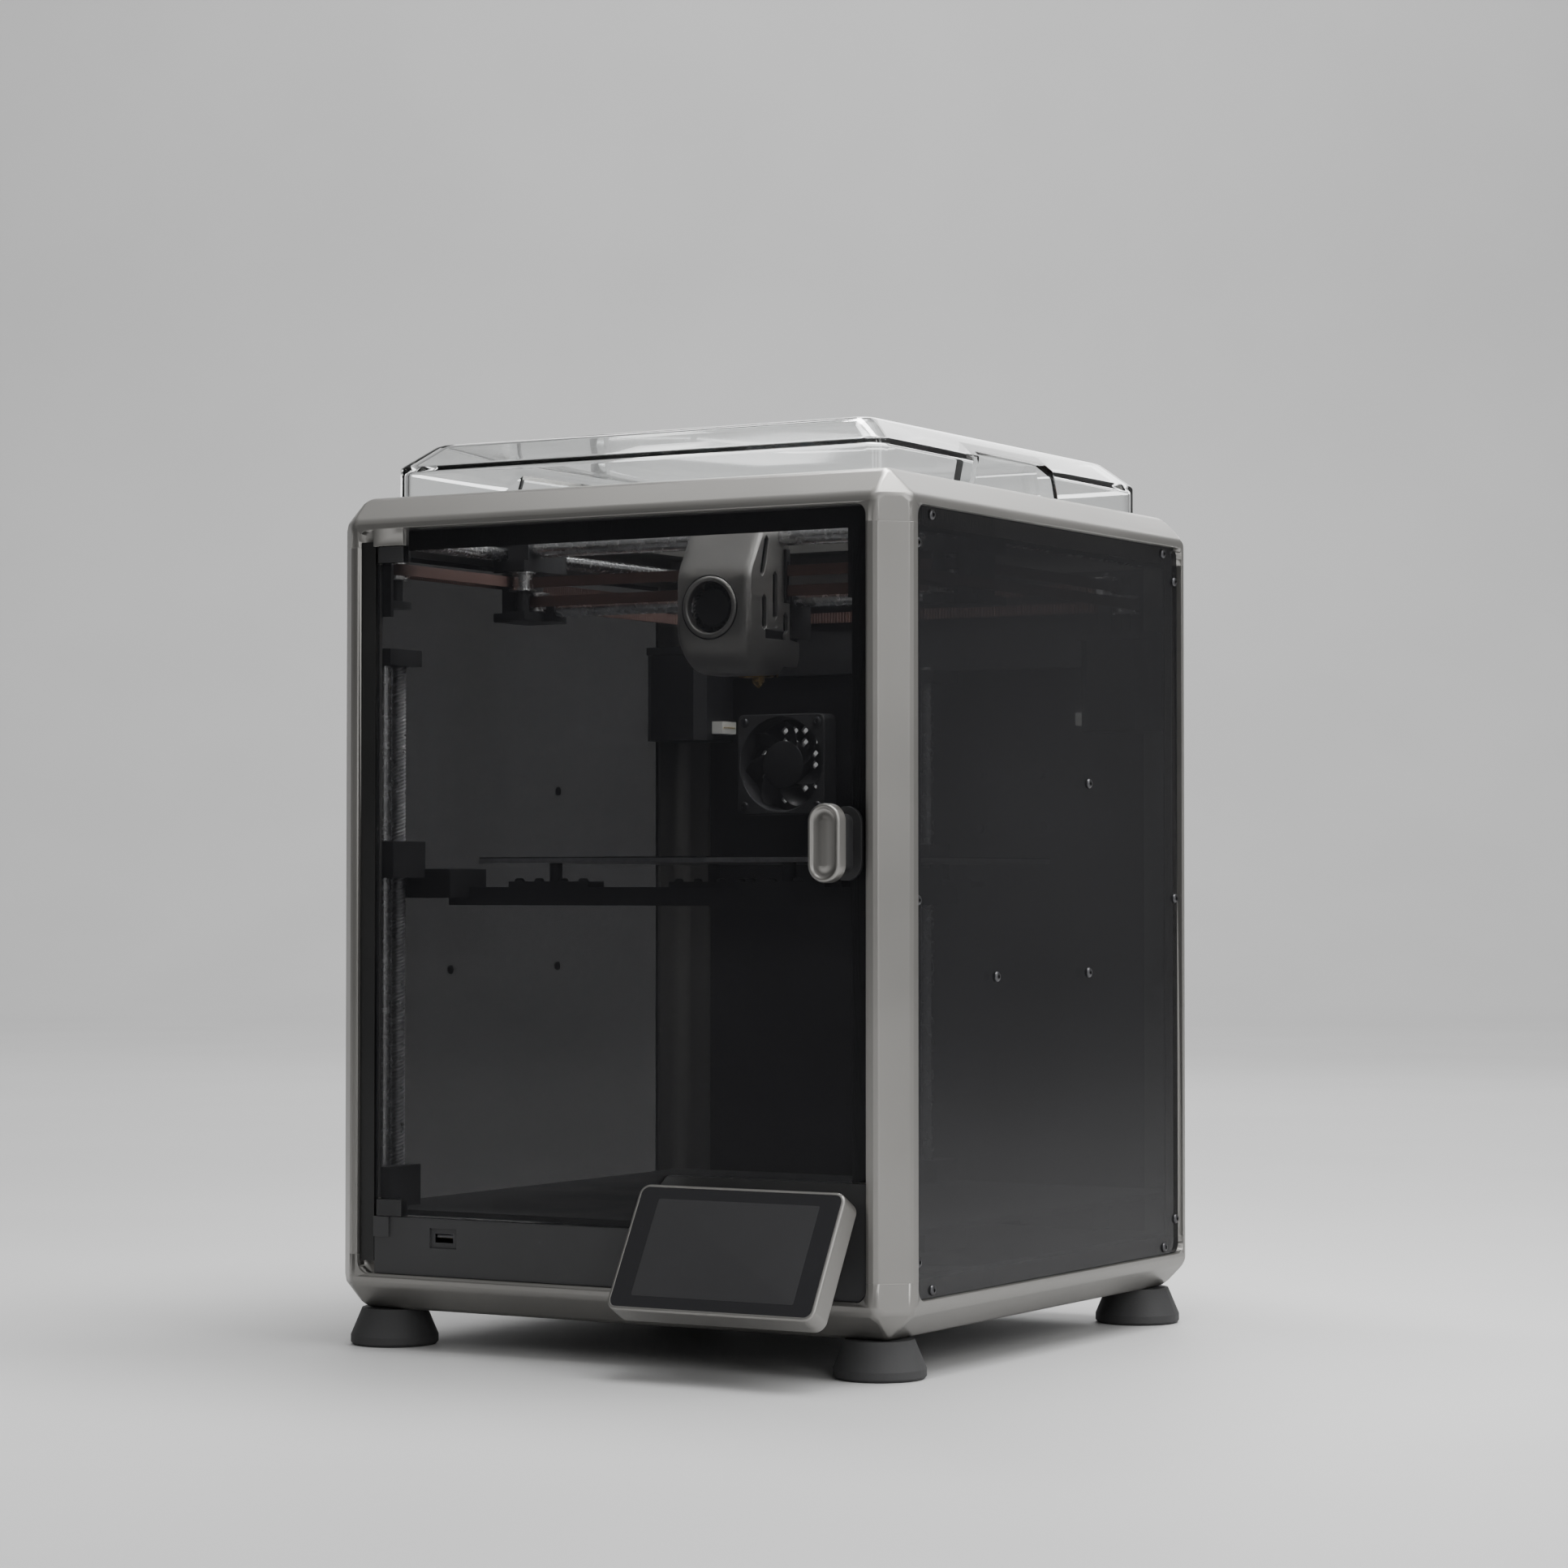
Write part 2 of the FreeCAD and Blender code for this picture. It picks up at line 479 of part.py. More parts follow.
def door_nodes():
    outline = [("-glass_left", "glass_low"), ("notch_glass", "glass_low"), ("notch_glass", "notch_high"),
               ("glass_right", "notch_high"), ("glass_right", "glass_high"), ("-tab_x + tab_gap", "glass_high"),
               ("-tab_x + tab_gap", "seam_high"), ("-glass_left", "seam_high")]
    glass = padded("glass_sheet", "XZ", outline, ("-glass_front", "-glass_back"))
    soft_x = (DIMENSIONS["glass_right"], DIMENSIONS["notch_glass"])

    def soft_corner(edge):
        return runs_along("y")(edge) and any(abs(edge.CenterOfMass.x - x) < CLOSE for x in soft_x)
    dress(glass, "Fillet", {"Radius": "glass_round"}, soft_corner)
    blocks = []
    seats = []
    top = "seam_high - gap / 2"
    ends = (
        ("top", f"{top} - hinge_tall", top, (f"{top} - bite", f"{top} + pin_reach - bite")),
        ("low", "glass_low", "glass_low + hinge_tall", ("glass_low + bite - pin_reach", "glass_low + bite")),
    )
    for word, low, high, pin_ends in ends:
        bar = block(f"hinge_bar_{word}", ("-hinge_x", "-hinge_in"), around("-hinge_y", "hinge_r"), (low, high))
        knuckle = rod(f"hinge_knuckle_{word}", "hinge_r", ("-hinge_x", "-hinge_y"), (low, high))
        pin = rod(f"hinge_pin_{word}", "pin_r", ("-hinge_x", "-hinge_y"), pin_ends)
        blocks.append(fuse(f"hinge_block_{word}", bar, knuckle, pin))
        seats.append(block(f"hinge_seat_{word}", ("-glass_left - bite", "-hinge_in"),
                           around("-hinge_y", "hinge_r"), (f"{low} - bite", f"{high} + bite")))
    node("door_glass", cut("glass_cut", glass, *seats))
    node("door_hinge_blocks", *blocks)
    pad = rounded("grip_pad", "XZ", around("grip_x", "pad_wide"), around("grip_z", "pad_tall"),
                  ("-pad_front", "-glass_front"), "pad_wide - run_gap")
    stem = rounded("grip_stem", "XZ", around("grip_x", "stem_wide"), around("grip_z", "stem_tall"),
                   ("-grip_back", "-pad_front"), "stem_wide - run_gap")
    node("door_handle_plate", fuse("grip_mount", pad, stem))
    pill = rounded("pill", "XZ", around("grip_x", "grip_wide"), around("grip_z", "grip_tall"),
                   ("-grip_front", "-grip_back"), "grip_wide - run_gap")
    front = -DIMENSIONS["grip_front"]

    def front_edge(edge):
        return abs(edge.BoundBox.YMax - front) < CLOSE
    dress(pill, "Chamfer", {"Size": "grip_edge"}, front_edge)
    dish = rounded("dish", "XZ", around("grip_x", "grip_wide - grip_rim"),
                   around("grip_z", "grip_tall - grip_rim"),
                   ("-grip_front - bite", "-grip_front + grip_dish"), "grip_wide - grip_rim - run_gap")
    node("door_handle", cut("pill_dished", pill, dish))


def leaned(body):
    """Turns a display piece from its flat drawing to its lean, about its lower front edge."""
    body.Placement = FreeCAD.Placement()
    move(body, "screen_x", "-screen_front", "screen_low")
    body.setExpression("Placement.Rotation.Angle", formula("screen_lean"))
    body.Placement.Rotation.Axis = FreeCAD.Vector(1, 0, 0)
    return body


def display_nodes():
    wide = around("0", "screen_wide / 2")
    case = rounded("screen_case", "XY", wide, ("0", "screen_long"), ("-screen_thick", "0"), "screen_round")
    dress(case, "Fillet", {"Radius": "screen_edge"}, lambda edge: not runs_along("z")(edge))
    inner = around("0", "screen_wide / 2 - screen_rim")
    inner_up = ("screen_rim", "screen_long - screen_rim")
    corner = "screen_round - screen_rim"
    well = rounded("screen_well", "XY", inner, inner_up, ("-screen_sink", "bite"), corner)
    glass = rounded("screen_glass", "XY", inner, inner_up, ("-screen_sink", "-glass_sink"), corner)
    node("display_housing", cut("screen_frame", leaned(case), leaned(well)))
    node("display_glass", leaned(glass))
    root_y = "-screen_front + screen_thick * sin(screen_lean)"
    root_z = "screen_low - screen_thick * cos(screen_lean)"
    back = []
    for share in ("bracket_start", "bracket_end"):
        back.append((f"{root_y} + {share} * screen_long * cos(screen_lean)",
                     f"{root_z} + {share} * screen_long * sin(screen_lean)"))
    outline = [("-fascia_front", "bracket_low"), *back, ("-fascia_front", "bracket_high")]
    node("display_bracket", padded("screen_arm", "YZ", outline, around("screen_x", "bracket_half")))


def feet_node():
    profile = [("0", "0"), ("foot_rim_r - foot_bevel", "0"), ("foot_rim_r", "foot_bevel"),
               ("foot_rim_r", "foot_rim"), ("foot_top_r", "body_base"), ("0", "body_base")]
    feet = []
    for across in (-1, 1):
        for along in (-1, 1):
            at = (f"{across} * foot_x", f"{along} * foot_x", "0")
            feet.append(turned(f"foot_{across + 1}_{along + 1}", profile, at))
    node("feet", *feet)


def lid_node():
    def hood(name, inset, drop):
        half = f"lid_half - {inset}"
        ends = around("0", half)
        body = padded(name, "XY", rectangle(ends, ends), (f"body_top - {drop}", f"lid_top - {inset}"))
        top = DIMENSIONS["lid_top"] - DIMENSIONS.get(inset, 0)

        def top_edge(edge):
            return abs(edge.BoundBox.ZMin - top) < CLOSE
        return dress(body, "Chamfer", {"Size": "lid_drop", "Size2": "lid_in"}, top_edge)

    def scoops(name, skin):
        cuts = []
        low = f"scoop_low + {skin}"
        high = f"scoop_high + {skin}"
        top = f"scoop_top + {skin}"
        outline = [(f"-({low})", "body_top - past"), (low, "body_top - past"), (high, top), (f"-({high})", top)]
        for word, side in SIDES:
            depth = span(side, f"lid_half - scoop_in - {skin}", "beyond")
            cuts.append(padded(f"{name}_{word}", "YZ", outline, depth))
        return cuts
    outer = cut("lid_outer", hood("lid_hood", "0", "0"), *scoops("scoop", "0"))
    inner = cut("lid_inner", hood("lid_hollow", "lid_skin", "past"), *scoops("scoop_back", "lid_skin"))
    node("lid", cut("lid_shell", outer, inner))


# ---------------------------------------------------------------- belts, pulleys, rods

def belt_run(name, x, y, level):
    return block(name, x, y, around(level, "belt_half"))


def belt_arc(name, centre, level, start, sweep):
    """A stretch of belt round a pulley, counter-clockwise from start through sweep degrees."""
    discs = []
    for word, radius in (("out", "belt_r + belt_thick"), ("in", "belt_r")):
        disc = document.addObject("Part::Cylinder", f"{name}_{word}")
        disc.Angle = sweep
        disc.Placement.Rotation = FreeCAD.Rotation(FreeCAD.Vector(0, 0, 1), start)
        move(disc, centre[0], centre[1], f"{level} - belt_half")
        discs.append(bind(disc, {"Radius": radius, "Height": "2 * belt_half"}))
    return cut(name, discs[0], discs[1])


def strip(middle, outward):
    """The belt's thickness beyond a pulley's face: outward is the side of the middle it lies on."""
    near = f"{middle} + {outward} * belt_r"
    far = f"{middle} + {outward} * (belt_r + belt_thick)"
    return (near, far) if outward > 0 else (far, near)


BELTS = (("upper", -1, "level_a"), ("lower", 1, "level_b"))
NOSE_Y = "-run_y - belt_r - belt_thick / 2"
TAIL_Y = "-run_y + belt_r + belt_thick / 2"


def belt_nodes():
    """Each belt turns left or right about the middle plane, so its arcs start a quarter apart."""
    fixed = []
    moving = []
    crossing = []
    for word, side, level in BELTS:
        corner = f"{side} * corner_x"
        near = f"{side} * inner_x"
        far = f"{-side} * inner_x"
        late = QUARTER if side < 0 else 0
        long_run = belt_run(f"{word}_outer_run", strip(corner, side), ("-front_y", "motor_y"), level)
        nose = belt_arc(f"{word}_nose", (corner, "-front_y"), level, 2 * QUARTER, 2 * QUARTER)
        heel = belt_arc(f"{word}_heel", (corner, "motor_y"), level, late, QUARTER)
        bend = belt_arc(f"{word}_bend", (far, "motor_y"), level, QUARTER - late, QUARTER)
        ends = (corner, far) if side < 0 else (far, corner)
        back = belt_run(f"{word}_back_run", ends, strip("motor_y", 1), level)
        fixed.append(fuse(f"{word}_loop", long_run, nose, heel, back, bend))
        moving.append(belt_run(f"{word}_front_run", strip(corner, -side), ("-front_y", NOSE_Y), level))
        moving.append(belt_run(f"{word}_rear_run", strip(far, -side), (TAIL_Y, "motor_y"), level))
        first = belt_arc(f"{word}_first", (near, NOSE_Y), level, late, QUARTER)
        second = belt_arc(f"{word}_second", (far, TAIL_Y), level, 2 * QUARTER + late, QUARTER)
        middle = belt_run(f"{word}_cross_run", around("0", "inner_x"), around("-run_y", "belt_thick / 2"), level)
        crossing.append(fuse(f"{word}_crossing", first, middle, second))
    node("belt_fixed_runs", *fixed)
    node("belt_y_runs", *moving)
    node("x_belts", *crossing)


def pulley_nodes():
    rim = "idler_half - flange_thick"
    profile = [("idler_bore", "-idler_half"), ("flange_r", "-idler_half"), ("flange_r", f"-({rim})"),
               ("barrel_r", f"-({rim})"), ("barrel_r", rim), ("flange_r", rim), ("flange_r", "idler_half"),
               ("idler_bore", "idler_half")]
    for word, side, level in BELTS:
        places = {
            f"motor_pulley_{word}": (f"{side} * corner_x", "motor_y"),
            f"front_idler_{word}": (f"{side} * corner_x", "-front_y"),
            f"rear_idler_{word}": (f"{-side} * inner_x", "motor_y"),
            f"carriage_front_idler_{word}": (f"{side} * inner_x", NOSE_Y),
            f"carriage_rear_idler_{word}": (f"{-side} * inner_x", TAIL_Y),
        }
        for name, (x, y) in places.items():
            node(name, turned(f"{name}_wheel", profile, (x, y, level)))


def shaft(name, x, y, level, low, high):
    """A pulley's pin between two plates, with a spacer under and over the pulley."""
    under = rod(f"{name}_under", "spacer_r", (x, y), (low, f"{level} - idler_half - run_gap"))
    over = rod(f"{name}_over", "spacer_r", (x, y), (f"{level} + idler_half + run_gap", high))
    return [rod(f"{name}_pin", "shaft_r", (x, y), (low, high)), under, over]


def cross_rod(name, which, radius, end):
    """One of the two rods along X, or the bore for it."""
    return rod(name, radius, (f"-rod_{which}_y", f"rod_{which}_z"), (f"-({end})", end), "x")


def carriage(word, side):
    """One end of the cross beam: rod clamp on top, pulley shelf below, a web between them."""
    wide = span(side, "ride_in", "ride_out")
    slim = span(side, "ride_in", "ride_nose_x")
    deep = ("-ride_front", "-ride_back")
    shelf = ("ride_shelf", "ride_shelf_top")
    parts = [
        block(f"ride_deck_{word}", wide, deep, ("ride_deck", "ride_top")),
        block(f"ride_lip_{word}", slim, ("-ride_socket", "-ride_front"), ("ride_deck", "ride_top")),
        block(f"ride_nose_{word}", slim, ("-ride_nose", "-ride_front"), ("ride_deck", "nose_top")),
        block(f"ride_shelf_{word}", wide, deep, shelf),
        block(f"ride_low_nose_{word}", slim, ("-ride_nose", "-ride_front"), shelf),
        block(f"ride_web_{word}", span(side, "web_in", "web_out"), ("-web_front", "-web_back"),
              ("ride_shelf", "ride_deck + bite")),
        block(f"ride_clamp_{word}", span(side, "boss_x", "rod_low_end"), around("-rod_low_y", "boss_half"),
              ("ride_shelf", "rod_low_z + boss_half")),
        block(f"ride_foot_{word}", span(side, "boss_x", "ride_in + bite"), around("-rod_low_y", "boss_half"),
              ("ride_shelf", "boss_foot")),
    ]
    # the front pin carries the pulley of this side's belt, the rear pin that of the other belt
    levels = ("level_a", "level_b") if side < 0 else ("level_b", "level_a")
    for place, y, level in zip(("front", "rear"), (NOSE_Y, TAIL_Y), levels):
        parts += shaft(f"ride_{place}_{word}", f"{side} * inner_x", y, level,
                       "ride_shelf_top - bite", "ride_deck + bite")
    bore = rod(f"ride_bore_{word}", "rod_y_r + run_gap", (f"{side} * rod_y_x", "rod_y_z"),
               ("-ride_nose - bite", "0"), "y")
    sockets = [cross_rod(f"ride_socket_{which}_{word}", which, "rod_x_r", f"rod_{which}_end")
               for which in ("high", "low")]
    return cut(f"ride_body_{word}", fuse(f"ride_{word}", *parts), bore, *sockets)


def gantry_nodes():
    node("y_carriages", *[carriage(word, side) for word, side in SIDES])
    node("x_rods", *[cross_rod(f"rod_{which}", which, "rod_x_r", f"rod_{which}_end")
                     for which in ("high", "low")])


def guide_nodes():
    """The fixed rods: two along Y for the cross beam, four upright ones for the bed."""
    rods = []
    for word, side in SIDES:
        upright = ("floor_level", "upper_top")
        rods.append(rod(f"rod_y_{word}", "rod_y_r", (f"{side} * rod_y_x", "rod_y_z"),
                        ("-core_half", "core_half"), "y"))
        rods.append(rod(f"guide_{word}", "guide_r", (f"{side} * screw_x", "-guide_y"), upright))
        rods.append(rod(f"rear_guide_{word}", "guide_r", (f"{side} * rear_guide_x", "rear_screw_y"), upright))
    node("guide_rods", *rods)


def holder_nodes():
    """The brackets of the two front pulleys: a face plate with two arms and a pin."""
    holders = []
    for word, side, level in (("left", -1, "level_a"), ("right", 1, "level_b")):
        wide = span(side, "holder_in", "holder_out")
        arm_y = ("-holder_front", "-holder_back")
        parts = [
            block(f"holder_face_{word}", wide, ("-holder_front", "-holder_front + holder_skin"),
                  ("holder_z", "holder_top")),
            block(f"holder_low_{word}", wide, arm_y, ("plate_low", "plate_low + arm")),
            block(f"holder_high_{word}", wide, arm_y, ("plate_high - arm", "plate_high")),
        ]
        parts += shaft(f"holder_{word}", f"{side} * corner_x", "-front_y", level,
                       "plate_low + bite", "plate_high - bite")
        holders.append(fuse(f"holder_whole_{word}", *parts))
    node("idler_brackets", *holders)


def motor(name, x, y, low, high, shaft_top):
    can = padded(name, "XY", rectangle(around(x, "motor_half"), around(y, "motor_half")), (low, high))
    dress(can, "Chamfer", {"Size": "motor_cut"}, runs_along("z"))
    return fuse(f"{name}_whole", can, rod(f"{name}_shaft", "shaft_r", (x, y), (f"{high} - bite", shaft_top)))


def drive_nodes():
    motors = [motor(f"xy_motor_{word}", f"{side} * corner_x", "motor_y", "motor_low", "motor_high",
                    "motor_shaft_top") for word, side in SIDES]
    motors.append(motor("z_motor", "z_motor_x", "z_motor_y", "z_motor_low", "z_motor_high", "z_shaft_top"))
    node("stepper_motors", *motors)
    decks = []
    foot = "deck_high - bite"
    for word, side, level in (("left", -1, "level_b"), ("right", 1, "level_a")):
        at = (f"{side} * inner_x", "motor_y")
        deck = block(f"motor_deck_{word}", span(side, "deck_in", "core_half - core_inset"),
                     ("motor_y - motor_half", "core_half - core_inset"), ("deck_low", "deck_high"))
        post = rod(f"idler_post_{word}", "shaft_r", at, (foot, "post_top"))
        under = rod(f"idler_spacer_{word}", "spacer_r", at, (foot, f"{level} - idler_half - run_gap"))
        way = rod(f"shaft_way_{word}", "shaft_way", (f"{side} * corner_x", "motor_y"),
                  ("deck_low - bite", "deck_high + bite"))
        decks.append(cut(f"deck_{word}", fuse(f"deck_whole_{word}", deck, post, under), way))
    bar = block("cross_bar", around("0", "beam_end"), ("beam_front", "beam_back"), ("beam_low", "beam_high"))
    node("rear_beam", fuse("beam_whole", bar, *decks))


def bracket(name, x, y, height, screw_at, guides):
    """A block that ends the guide rods, with a free hole for the lead screw."""
    past = (f"{height[0]} - bite", f"{height[1]} + bite")
    holes = [rod(f"{name}_hole", "loose", screw_at, past)]
    for number, at in enumerate(guides):
        holes.append(rod(f"{name}_seat_{number}", "guide_r", at, past))
    return cut(name, block(f"{name}_block", x, y, height), *holes)


def height_nodes():
    profile = [("0", "screw_low"), ("z_pulley_r", "screw_low"), ("z_pulley_r", "z_pulley_top"),
               ("screw_r", "z_pulley_top"), ("screw_r", "screw_top"), ("0", "screw_top")]
    for word, x, y in screw_places():
        node(f"lead_screw_{word}", turned(f"screw_{word}", profile, (x, y, "0")))
    brackets = []
    for end, height in (("upper", ("upper_low", "upper_top")), ("lower", ("floor_level", "lower_top"))):
        for word, side in SIDES:
            wide = span(side, "bracket_in", "core_half - core_inset")
            deep = ("-core_half + core_inset", "-bracket_back")
            brackets.append(bracket(f"{end}_mount_{word}", wide, deep, height,
                                    (f"{side} * screw_x", "-screw_y"), [(f"{side} * screw_x", "-guide_y")]))
    guides = [(f"{side} * rear_guide_x", "rear_screw_y") for word, side in SIDES]
    for end, height in (("upper", ("upper_low", "beam_low")), ("lower", ("floor_level", "rear_low_top"))):
        brackets.append(bracket(f"{end}_mount_rear", around("0", "rear_bracket_half"),
                                ("rear_bracket_front", "core_half"), height, ("0", "rear_screw_y"), guides))
    node("z_brackets", *brackets)


def z_belt_node():
    """The closed belt round the three screw pulleys: a triangle with rounded corners."""
    half, front, rear, inside, thick, tall = (
        DIMENSIONS["screw_x"], DIMENSIONS["screw_y"], DIMENSIONS["rear_screw_y"],
        DIMENSIONS["z_pulley_r"] + DIMENSIONS["run_gap"], DIMENSIONS["belt_thick"],
        2 * DIMENSIONS["z_belt_half"])
    corners = [FreeCAD.Vector(-half, -front, 0), FreeCAD.Vector(half, -front, 0), FreeCAD.Vector(0, rear, 0)]
    triangle = Part.Face(Part.makePolygon(corners + corners[:1]))
    ring = triangle.makeOffset2D(inside + thick).cut(triangle.makeOffset2D(inside))
    loop = document.addObject("Part::Feature", "z_belt_loop")
    loop.Shape = ring.extrude(FreeCAD.Vector(0, 0, tall))
    move(loop, z="z_level - z_belt_half")
    node("z_belt", loop)


# ---------------------------------------------------------------- print head

def slot(name, front_y, back_y, low, high):
    """A pointed upright slot through both cheeks, its top leaning back from front_y to back_y."""
    outline = [(f"-{front_y} - slot_half", f"{low} + slot_half"), (f"-{front_y}", low),
               (f"-{front_y} + slot_half", f"{low} + slot_half"),
               (f"-{back_y} + slot_half", f"{high} - slot_half"), (f"-{back_y}", high),
               (f"-{back_y} - slot_half", f"{high} - slot_half")]
    return padded(name, "YZ", outline, ("-beyond", "beyond"))


def head_shell():
    """The silver cover: a front with a bent chin and a sloped top, a cheek down each side."""
    outline = [("-cheek_back", "head_low"), ("-chin_y", "head_low"), ("-head_front", "chin_z"),
               ("-head_front", "slope_z"), ("-slope_y", "head_top"), ("-cheek_hook", "head_top"),
               ("-cheek_hook", "cheek_slim_high"), ("-cheek_slim", "cheek_slim_high"),
               ("-cheek_slim", "cheek_slim_low"), ("-cheek_mid", "cheek_slim_low"),
               ("-cheek_mid", "cheek_step"), ("-cheek_back", "cheek_low")]
    outer = padded("cover", "YZ", outline, ("-head_left", "head_right"))
    front = -DIMENSIONS["head_front"]
    bend_end = -DIMENSIONS["cheek_slim"]

    def front_bend(edge):
        return runs_along("x")(edge) and abs(edge.CenterOfMass.y - front) < CLOSE

    def side_edge(edge):
        flat = edge.BoundBox.XLength < CLOSE
        return flat and edge.BoundBox.YMin < bend_end - CLOSE and edge.BoundBox.YLength > CLOSE

    def front_line(edge):
        return edge.BoundBox.XLength < CLOSE and abs(edge.BoundBox.YMax - front) < CLOSE
    dress(outer, "Fillet", {"Radius": "head_bend"}, front_bend)
    dress(outer, "Fillet", {"Radius": "head_round"}, lambda edge: side_edge(edge) or front_line(edge))
    skin = "head_wall"
    hollow = [("-floor_end", "head_low - bite"), ("-floor_end", f"head_low + {skin}"),
              ("-chin_y", f"head_low + {skin}"), (f"-head_front + {skin}", "chin_z"),
              (f"-head_front + {skin}", "slope_z"), (f"-slope_y + {skin}", f"head_top - {skin}"),
              ("0", f"head_top - {skin}"), ("0", "head_low - bite")]
    inner = padded("cover_hollow", "YZ", hollow, (f"-head_left + {skin}", f"head_right - {skin}"))
    at = ("ring_x", "ring_z")
    ring = rod("cover_ring", "ring_r", at, ("-head_front - ring_proud", "-head_front + ring_deep"), "y")
    tools = [
        rod("cover_way", "ring_open", at, ("-head_front - past", "-wheel_back"), "y"),
        cross_rod("cover_bore", "high", "rod_x_r + gap", "beyond"),
        slot("slot_front", "slot_front_y", "slot_front_y", "slot_front_low", "slot_front_high"),
        slot("slot_tip", "slot_tip_y", "slot_tip_back", "slot_tip_low", "slot_tip_high"),
        slot("slot_mid", "slot_mid_y", "slot_mid_y", "slot_mid_low", "slot_mid_high"),
        slot("slot_rear", "slot_rear_y", "slot_rear_y", "slot_rear_low", "slot_rear_high"),
        block("slot_base", ("-beyond", "beyond"), ("-slot_base_front", "-slot_rear_y"),
              ("slot_base_low", "slot_base_low + 2 * slot_half")),
    ]
    return cut("cover_open", fuse("cover_whole", cut("cover_shell", outer, inner), ring), *tools)


def head_block():
    """The black carriage behind the cover: core, trunk, rod bearings and belt grip."""
    slide = ("-slide_left", "slide_right")
    parts = [
        block("head_core", ("-core_left", "core_right"), ("-core_front", "-core_back"),
              ("trunk_top - bite", "core_top")),
        block("head_rear", ("-rear_left", "rear_right"), ("-core_back - bite", "-rear_back"),
              ("trunk_top - bite", "core_top")),
        block("head_trunk", ("-trunk_left", "trunk_right"), ("-trunk_front", "-rear_back"),
              ("trunk_low", "trunk_top")),
        block("head_bearing", slide, ("-slide_front", "-slide_neck"), ("slide_low", "slide_top")),
        block("head_bearing_foot", slide, ("-slide_front", "-slide_back"), ("slide_low", "slide_mid")),
        block("belt_grip", slide, ("-grab_front", "-grab_back"), ("grab_low", "grab_high")),
    ]
    room = "heater_gap + heater_x"
    tools = [
        cross_rod("head_bore_high", "high", "bearing_bore", "beyond"),
        cross_rod("head_bore_low", "low", "bearing_bore", "beyond"),
        block("belt_way", ("-beyond", "beyond"), ("-way_front", "-way_back"), ("way_low", "way_high")),
        rod("head_inlet", "feed_r", ("head_x", "-nozzle_y"), ("feed_low", "core_top + bite")),
        block("heater_room", around("head_x", room), around("-nozzle_y", "heater_gap + heater_y"),
              ("trunk_low - bite", "break_top")),
    ]
    return cut("head_body", fuse("head_whole", *parts), *tools)


def head_nodes():
    node("head_shell", head_shell())
    node("head_carriage", head_block())
    nozzle = turned("nozzle", [("0", "nozzle_tip"), ("nozzle_tip_r", "nozzle_tip"), ("nozzle_r", "nozzle_top"),
                               ("nozzle_r", "heater_low"), ("0", "heater_low")], ("head_x", "-nozzle_y", "0"))
    heater = block("heater", around("head_x", "heater_x"), around("-nozzle_y", "heater_y"),
                   ("heater_low", "heater_high"))
    neck = rod("heat_break", "break_r", ("head_x", "-nozzle_y"), ("heater_high - bite", "break_top"))
    node("hotend", fuse("hotend_whole", nozzle, heater, neck))


def wheel(name, hub, tip, depth, at, count, lean):
    """A fan rotor: a hub with slanted blades, turning about Y."""
    long = f"(({depth[1]}) - ({depth[0]}))"
    blades = []
    for number in range(count):
        blade = document.addObject("Part::Box", f"{name}_blade_{number}")
        turn = FreeCAD.Rotation(FreeCAD.Vector(0, 1, 0), 4 * QUARTER / count * number)
        tilt = FreeCAD.Rotation(FreeCAD.Vector(1, 0, 0), lean)
        blade.Placement.Rotation = turn.multiply(tilt)
        bind(blade, {"Length": tip, "Width": f"{long} * blade_share", "Height": "blade_thick"})
        move(blade, at[0], f"({depth[0]}) + {long} * (1 - blade_share) / 2", at[1])
        blades.append(blade)
    whole = fuse(f"{name}_whole", rod(f"{name}_hub", hub, at, depth, "y"), *blades)
    return common(f"{name}_wheel", whole, rod(f"{name}_limit", tip, at, depth, "y"))


def rotor_nodes():
    node("blower_impeller", wheel("blower", "wheel_hub", "wheel_r", ("-wheel_front", "-wheel_back"),
                                  ("ring_x", "ring_z"), BLOWER_BLADES, 0))
    at = ("grille_x", "grille_z")
    depth = ("fan_front + rotor_gap", "fan_back - fan_wall - rotor_gap")
    node("exhaust_rotor", wheel("exhaust", "hub_r", "blade_r", depth, at, FAN_BLADES, FAN_LEAN))
    frame = rounded("fan_frame", "XZ", around(at[0], "fan_half"), around(at[1], "fan_half"),
                    ("fan_front", "fan_back"), "fan_corner")
    tools = [rod("fan_bore", "fan_open", at, ("fan_front - bite", "fan_back - fan_wall"), "y")]
    for across in (-1, 1):
        for up in (-1, 1):
            corner = (f"{at[0]} + {across} * fan_way_at", f"{at[1]} + {up} * fan_way_at")
            tools.append(rod(f"fan_way_{across + 1}_{up + 1}", "fan_way_r", corner,
                             ("fan_back - past", "fan_back + bite"), "y"))
    node("exhaust_fan_frame", cut("fan_body", frame, *tools))


# ---------------------------------------------------------------- bed

